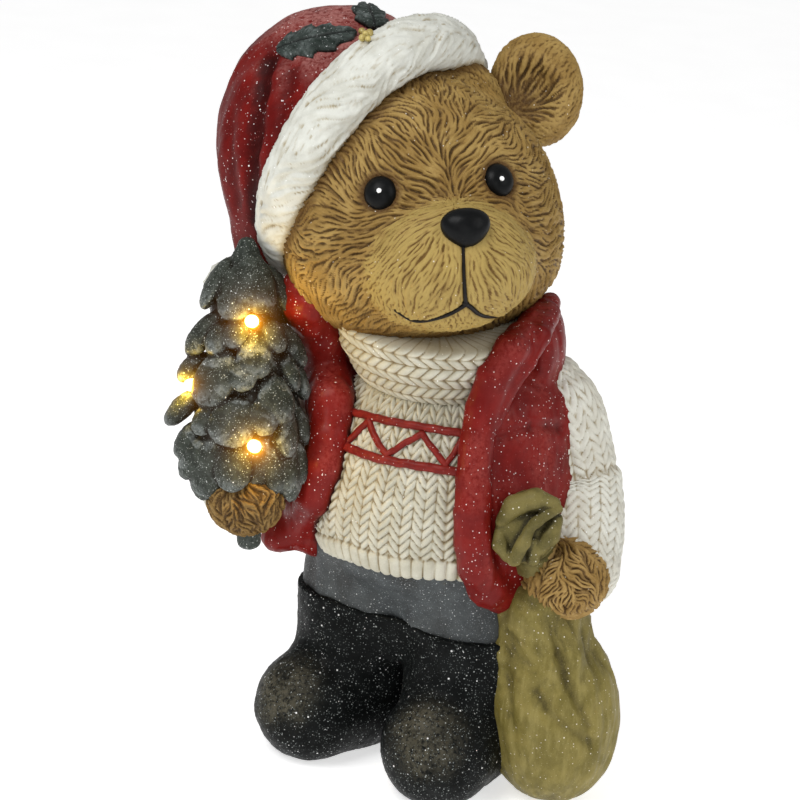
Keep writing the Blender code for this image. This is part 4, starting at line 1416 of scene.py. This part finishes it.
# ------------------------------------------------------------------ fir tree
def f_trunk_cone(p):
    d = rcone(p, P(246, 306, 64), P(243, 440, 60), 32, 52)
    return smin(d, rcone(p, P(247, 246, 68), P(246, 300, 64), 11, 34), 14)


# root x, y, tip x, y, width of each drooping bough on the near side
BOUGHS = ((228, 256, 213, 302, 34), (240, 262, 236, 314, 36), (266, 262, 288, 314, 36), (252, 250, 258, 306, 36),
          (219, 312, 198, 350, 27), (226, 322, 218, 352, 25), (238, 316, 236, 346, 24), (254, 330, 254, 374, 34), (280, 322, 294, 362, 28), (270, 318, 272, 350, 26),
          (203, 352, 189, 378, 22), (228, 346, 211, 401, 44), (240, 356, 243, 388, 28), (268, 370, 277, 418, 38), (290, 356, 297, 395, 24), (283, 350, 287, 388, 24),
          (198, 390, 177, 420, 36), (243, 396, 228, 440, 44), (260, 398, 262, 432, 28), (212, 402, 205, 432, 26), (286, 402, 282, 449, 28), (293, 400, 297, 440, 22),
          (200, 420, 187, 450, 26), (205, 436, 191, 468, 26), (218, 440, 206, 485, 36), (236, 436, 233, 480, 34), (256, 446, 253, 495, 34), (278, 436, 273, 482, 28),
          (288, 442, 287, 488, 30), (295, 436, 295, 474, 22))


def tree_lobes():
    out = []
    for x0, y0, x1, y1, w in BOUGHS:
        a = sight(x0, y0, f_trunk_cone)
        b = sight(x1, y1, f_trunk_cone)
        na, nb = unit(grad(f_trunk_cone, a[None])[0]), unit(grad(f_trunk_cone, b[None])[0])
        a, b = a - na * 3, b + nb * 7
        long = max(ln(b - a), 12.0)
        tip = (b - a) / long
        out.append(((a * 0.42 + b * 0.58), tip, unit(na + nb), (w * 0.52, 10.0, long * 0.56)))
    rng = np.random.default_rng(5)
    for k, (y, ring, m, s) in enumerate(((276, 19, 5, 0.8), (318, 30, 7, 0.9), (360, 36, 8, 1.0), (402, 41, 9, 1.05), (440, 43, 9, 1.1), (468, 38, 9, 1.0))):
        for j in range(m):
            a = 2 * math.pi * (j + 0.5 * (k % 2) + rng.uniform(-0.12, 0.12)) / m
            if math.sin(a) > -0.12:
                continue
            c = P(245, y + rng.uniform(-4, 4), 62)
            out_d = R * math.cos(a) + B * math.sin(a)
            tip = unit(out_d * 0.42 - U * 0.9)
            out.append((c + out_d * ring, tip, out_d, (17 * s, 11 * s, 24 * s)))
    return out


LOBES = tree_lobes()
LOBE_M = []
for ctr, tip, out_d, s in LOBES:
    x = unit(np.cross(tip, out_d))
    LOBE_M.append(np.stack([x, np.cross(tip, x), tip], 1))


def f_tree(p):
    flat = p.reshape(-1, 3)
    d = f_trunk_cone(flat) + 2.0
    for (ctr, tip, out_d, s), M in zip(LOBES, LOBE_M):
        m = ln(flat - ctr) < 50
        if m.any():
            q = (flat[m] - ctr) @ M
            k = 1 + 0.16 * q[:, 2] / s[2]
            e = ell(np.stack([q[:, 0] / k, q[:, 1], q[:, 2]], 1), (0, 0, 0), s)
            d[m] = smin(d[m], e, 1.6)
    return d


def make_tree():
    c = P(246, 370, 64)
    v, q = iso(f_tree, c - (95, 95, 150), c + (95, 95, 160), 2.2, relax=1)
    N = unit(grad(f_tree, v))
    ao = np.clip(f_tree(v + N * 7) / 7, 0, 1)
    rag = fbm(v, 5.5, 3.0, 3) - 0.5
    tipness = np.zeros(len(v))
    for ctr, tip, out_d, s in LOBES:
        m = ln(v - ctr) < 30
        tipness[m] = np.maximum(tipness[m], step(0.2, 0.95, ((v[m] - ctr) @ tip) / s[2]) * step(-0.2, 0.4, N[m] @ out_d))
    hgt = 1.5 * rag + 1.3 * (vnoise(v, 3.0, 1.0) - 0.5)
    # painted shade: the recesses between the lobes are darkened from the occlusion 'ao', with some random tone
    cav = np.clip(1.4 - 1.4 * ao - 0.8 * rag, 0, 1)
    put("fir_tree", v + N * hgt[:, None], q, M_TREE, cav=cav, rub_and_highlight=np.clip(tipness * 0.75 * ao + 0.25 * rag, 0, 1))
    a, b = P(245, 480, 60), P(249, 540, 52)
    v, f, N, A, L = tube([tuple(a) + (12,), tuple((a + b) / 2) + (12,), tuple(b) + (12,)], 2.2, 28)
    v = v + N * (2.0 * (fbm(v, 6, 2, 2) - 0.5))[:, None]
    put("fir_trunk", v, f, M_TREE, cav=0.25, rub_and_highlight=0.3)


# ------------------------------------------------------------------ lamps
def lamp_material():
    n = Nodes("lamp_warm")
    col = n.mix(n.noise(1.2, 2.0, 0.5), lin((255, 228, 140)), lin((255, 200, 84)))
    n.link(col, n.bsdf.inputs["Base Color"])
    n.link(col, n.bsdf.inputs["Emission Color"])
    n.bsdf.inputs["Emission Strength"].default_value = 8.0
    n.bsdf.inputs["Roughness"].default_value = 0.2
    return n.mat


def lamps():
    m = lamp_material()
    for k in (1, 2, 3):
        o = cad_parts["led_%d" % k]
        o.data.materials.clear()
        o.data.materials.append(m)
        lo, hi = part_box("led_%d" % k)
        c = (np.array(lo) + np.array(hi)) / 2
        away = unit(c - metres(P(246, 380, 64)) * np.array([1, 1, 0]) - np.array([0, 0, c[2]]))
        la = bpy.data.lights.new("lamp_glow_%d" % k, "POINT")
        la.energy = 0.02
        la.color = (1.0, 0.64, 0.08)
        la.shadow_soft_size = 0.002
        lo_ = bpy.data.objects.new("lamp_glow_%d" % k, la)
        lo_.location = c + away * 0.006
        bpy.context.scene.collection.objects.link(lo_)


# ------------------------------------------------------------------ build
make_head()
make_face()
make_ear()
make_hat()
make_band()
make_pompom()
make_holly()
make_sweater()
make_rollneck()
make_cords()
make_vest()
make_arms()
make_legs()
make_bag()
make_ruffle()
make_tree()
lamps()
print("pieces", len(SHOWN), "triangles", sum(n for _, n in SHOWN), "largest", max(SHOWN, key=lambda s: s[1]))

# ------------------------------------------------------------------ floor, light, camera
floor_mesh = bpy.data.meshes.new("floor")
floor_mesh.from_pydata([(-6, -6, 0), (6, -6, 0), (6, 6, 0), (-6, 6, 0)], [], [(0, 1, 2, 3)])
floor = bpy.data.objects.new("floor", floor_mesh)
bpy.context.scene.collection.objects.link(floor)
fm = Nodes("floor_pale")
fm.link(fm.mix(fm.range(fm.noise(60, 2.0, 0.5), 0.3, 0.7), lin((246, 246, 246)), lin((250, 250, 250))), fm.bsdf.inputs["Base Color"])
fm.bsdf.inputs["Roughness"].default_value = 0.8
fm.bsdf.inputs["Specular IOR Level"].default_value = 0.1
fm.bsdf.inputs["Emission Color"].default_value = (1, 1, 1, 1)
fm.bsdf.inputs["Emission Strength"].default_value = 0.62
floor_mesh.materials.append(fm.mat)

sc = bpy.context.scene
world = bpy.data.worlds.new("studio")
sc.world = world
world.use_nodes = True
world.node_tree.nodes["Background"].inputs["Color"].default_value = (1.0, 1.0, 1.0, 1.0)
world.node_tree.nodes["Background"].inputs["Strength"].default_value = 0.36


def area(name, at, look, size, power, colour=(1, 1, 1)):
    la = bpy.data.lights.new(name, "AREA")
    la.shape = "RECTANGLE"
    la.size, la.size_y = size
    la.energy = power
    la.color = colour
    o = bpy.data.objects.new(name, la)
    o.location = at
    d = np.asarray(look, float) - np.asarray(at, float)
    from mathutils import Vector
    o.rotation_euler = Vector(d).to_track_quat("-Z", "Y").to_euler()
    sc.collection.objects.link(o)


mid = metres(np.array([-20, -20, 360.0]))


def spot_at(az, el, dist):
    a, e = VIEW_AZ + math.radians(az), math.radians(el)
    return mid + dist * np.array([math.sin(a) * math.cos(e), -math.cos(a) * math.cos(e), math.sin(e)])


area("key", spot_at(-38, 52, 0.9), mid, (0.5, 0.5), 4.2)
area("side", spot_at(62, 34, 1.0), mid, (0.45, 0.7), 2.0)
area("front", spot_at(6, 16, 1.3), mid, (0.6, 0.4), 1.2)

cam_data = bpy.data.cameras.new("camera")
cam_data.sensor_width = 36.0
cam_data.lens = 112.5
cam_data.clip_start, cam_data.clip_end = 0.01, 50.0
cam = bpy.data.objects.new("camera", cam_data)
sc.collection.objects.link(cam)
from mathutils import Matrix
m4 = Matrix.Identity(4)
loc = metres(EYE)
for i in range(3):
    m4[i][0], m4[i][1], m4[i][2], m4[i][3] = R[i], U[i], B[i], loc[i]
cam.matrix_world = m4
sc.camera = cam
sc.view_settings.view_transform = "Standard"
sc.view_settings.look = "None"
sc.render.film_transparent = False

sc.use_nodes = True
tree_ = sc.node_tree
tree_.nodes.clear()
rl = tree_.nodes.new("CompositorNodeRLayers")
gl = tree_.nodes.new("CompositorNodeGlare")
gl.glare_type = "FOG_GLOW"
gl.quality = "HIGH"
for key, val in (("Threshold", 1.8), ("Highlights Threshold", 1.8), ("Strength", 1.0), ("Size", 0.34), ("Saturation", 1.0)):
    if key in gl.inputs:
        gl.inputs[key].default_value = val
if "Tint" in gl.inputs:
    gl.inputs["Tint"].default_value = (1.0, 0.62, 0.08, 1.0)
co = tree_.nodes.new("CompositorNodeComposite")
tree_.links.new(rl.outputs["Image"], gl.inputs["Image"])
tree_.links.new(gl.outputs["Image"], co.inputs["Image"])
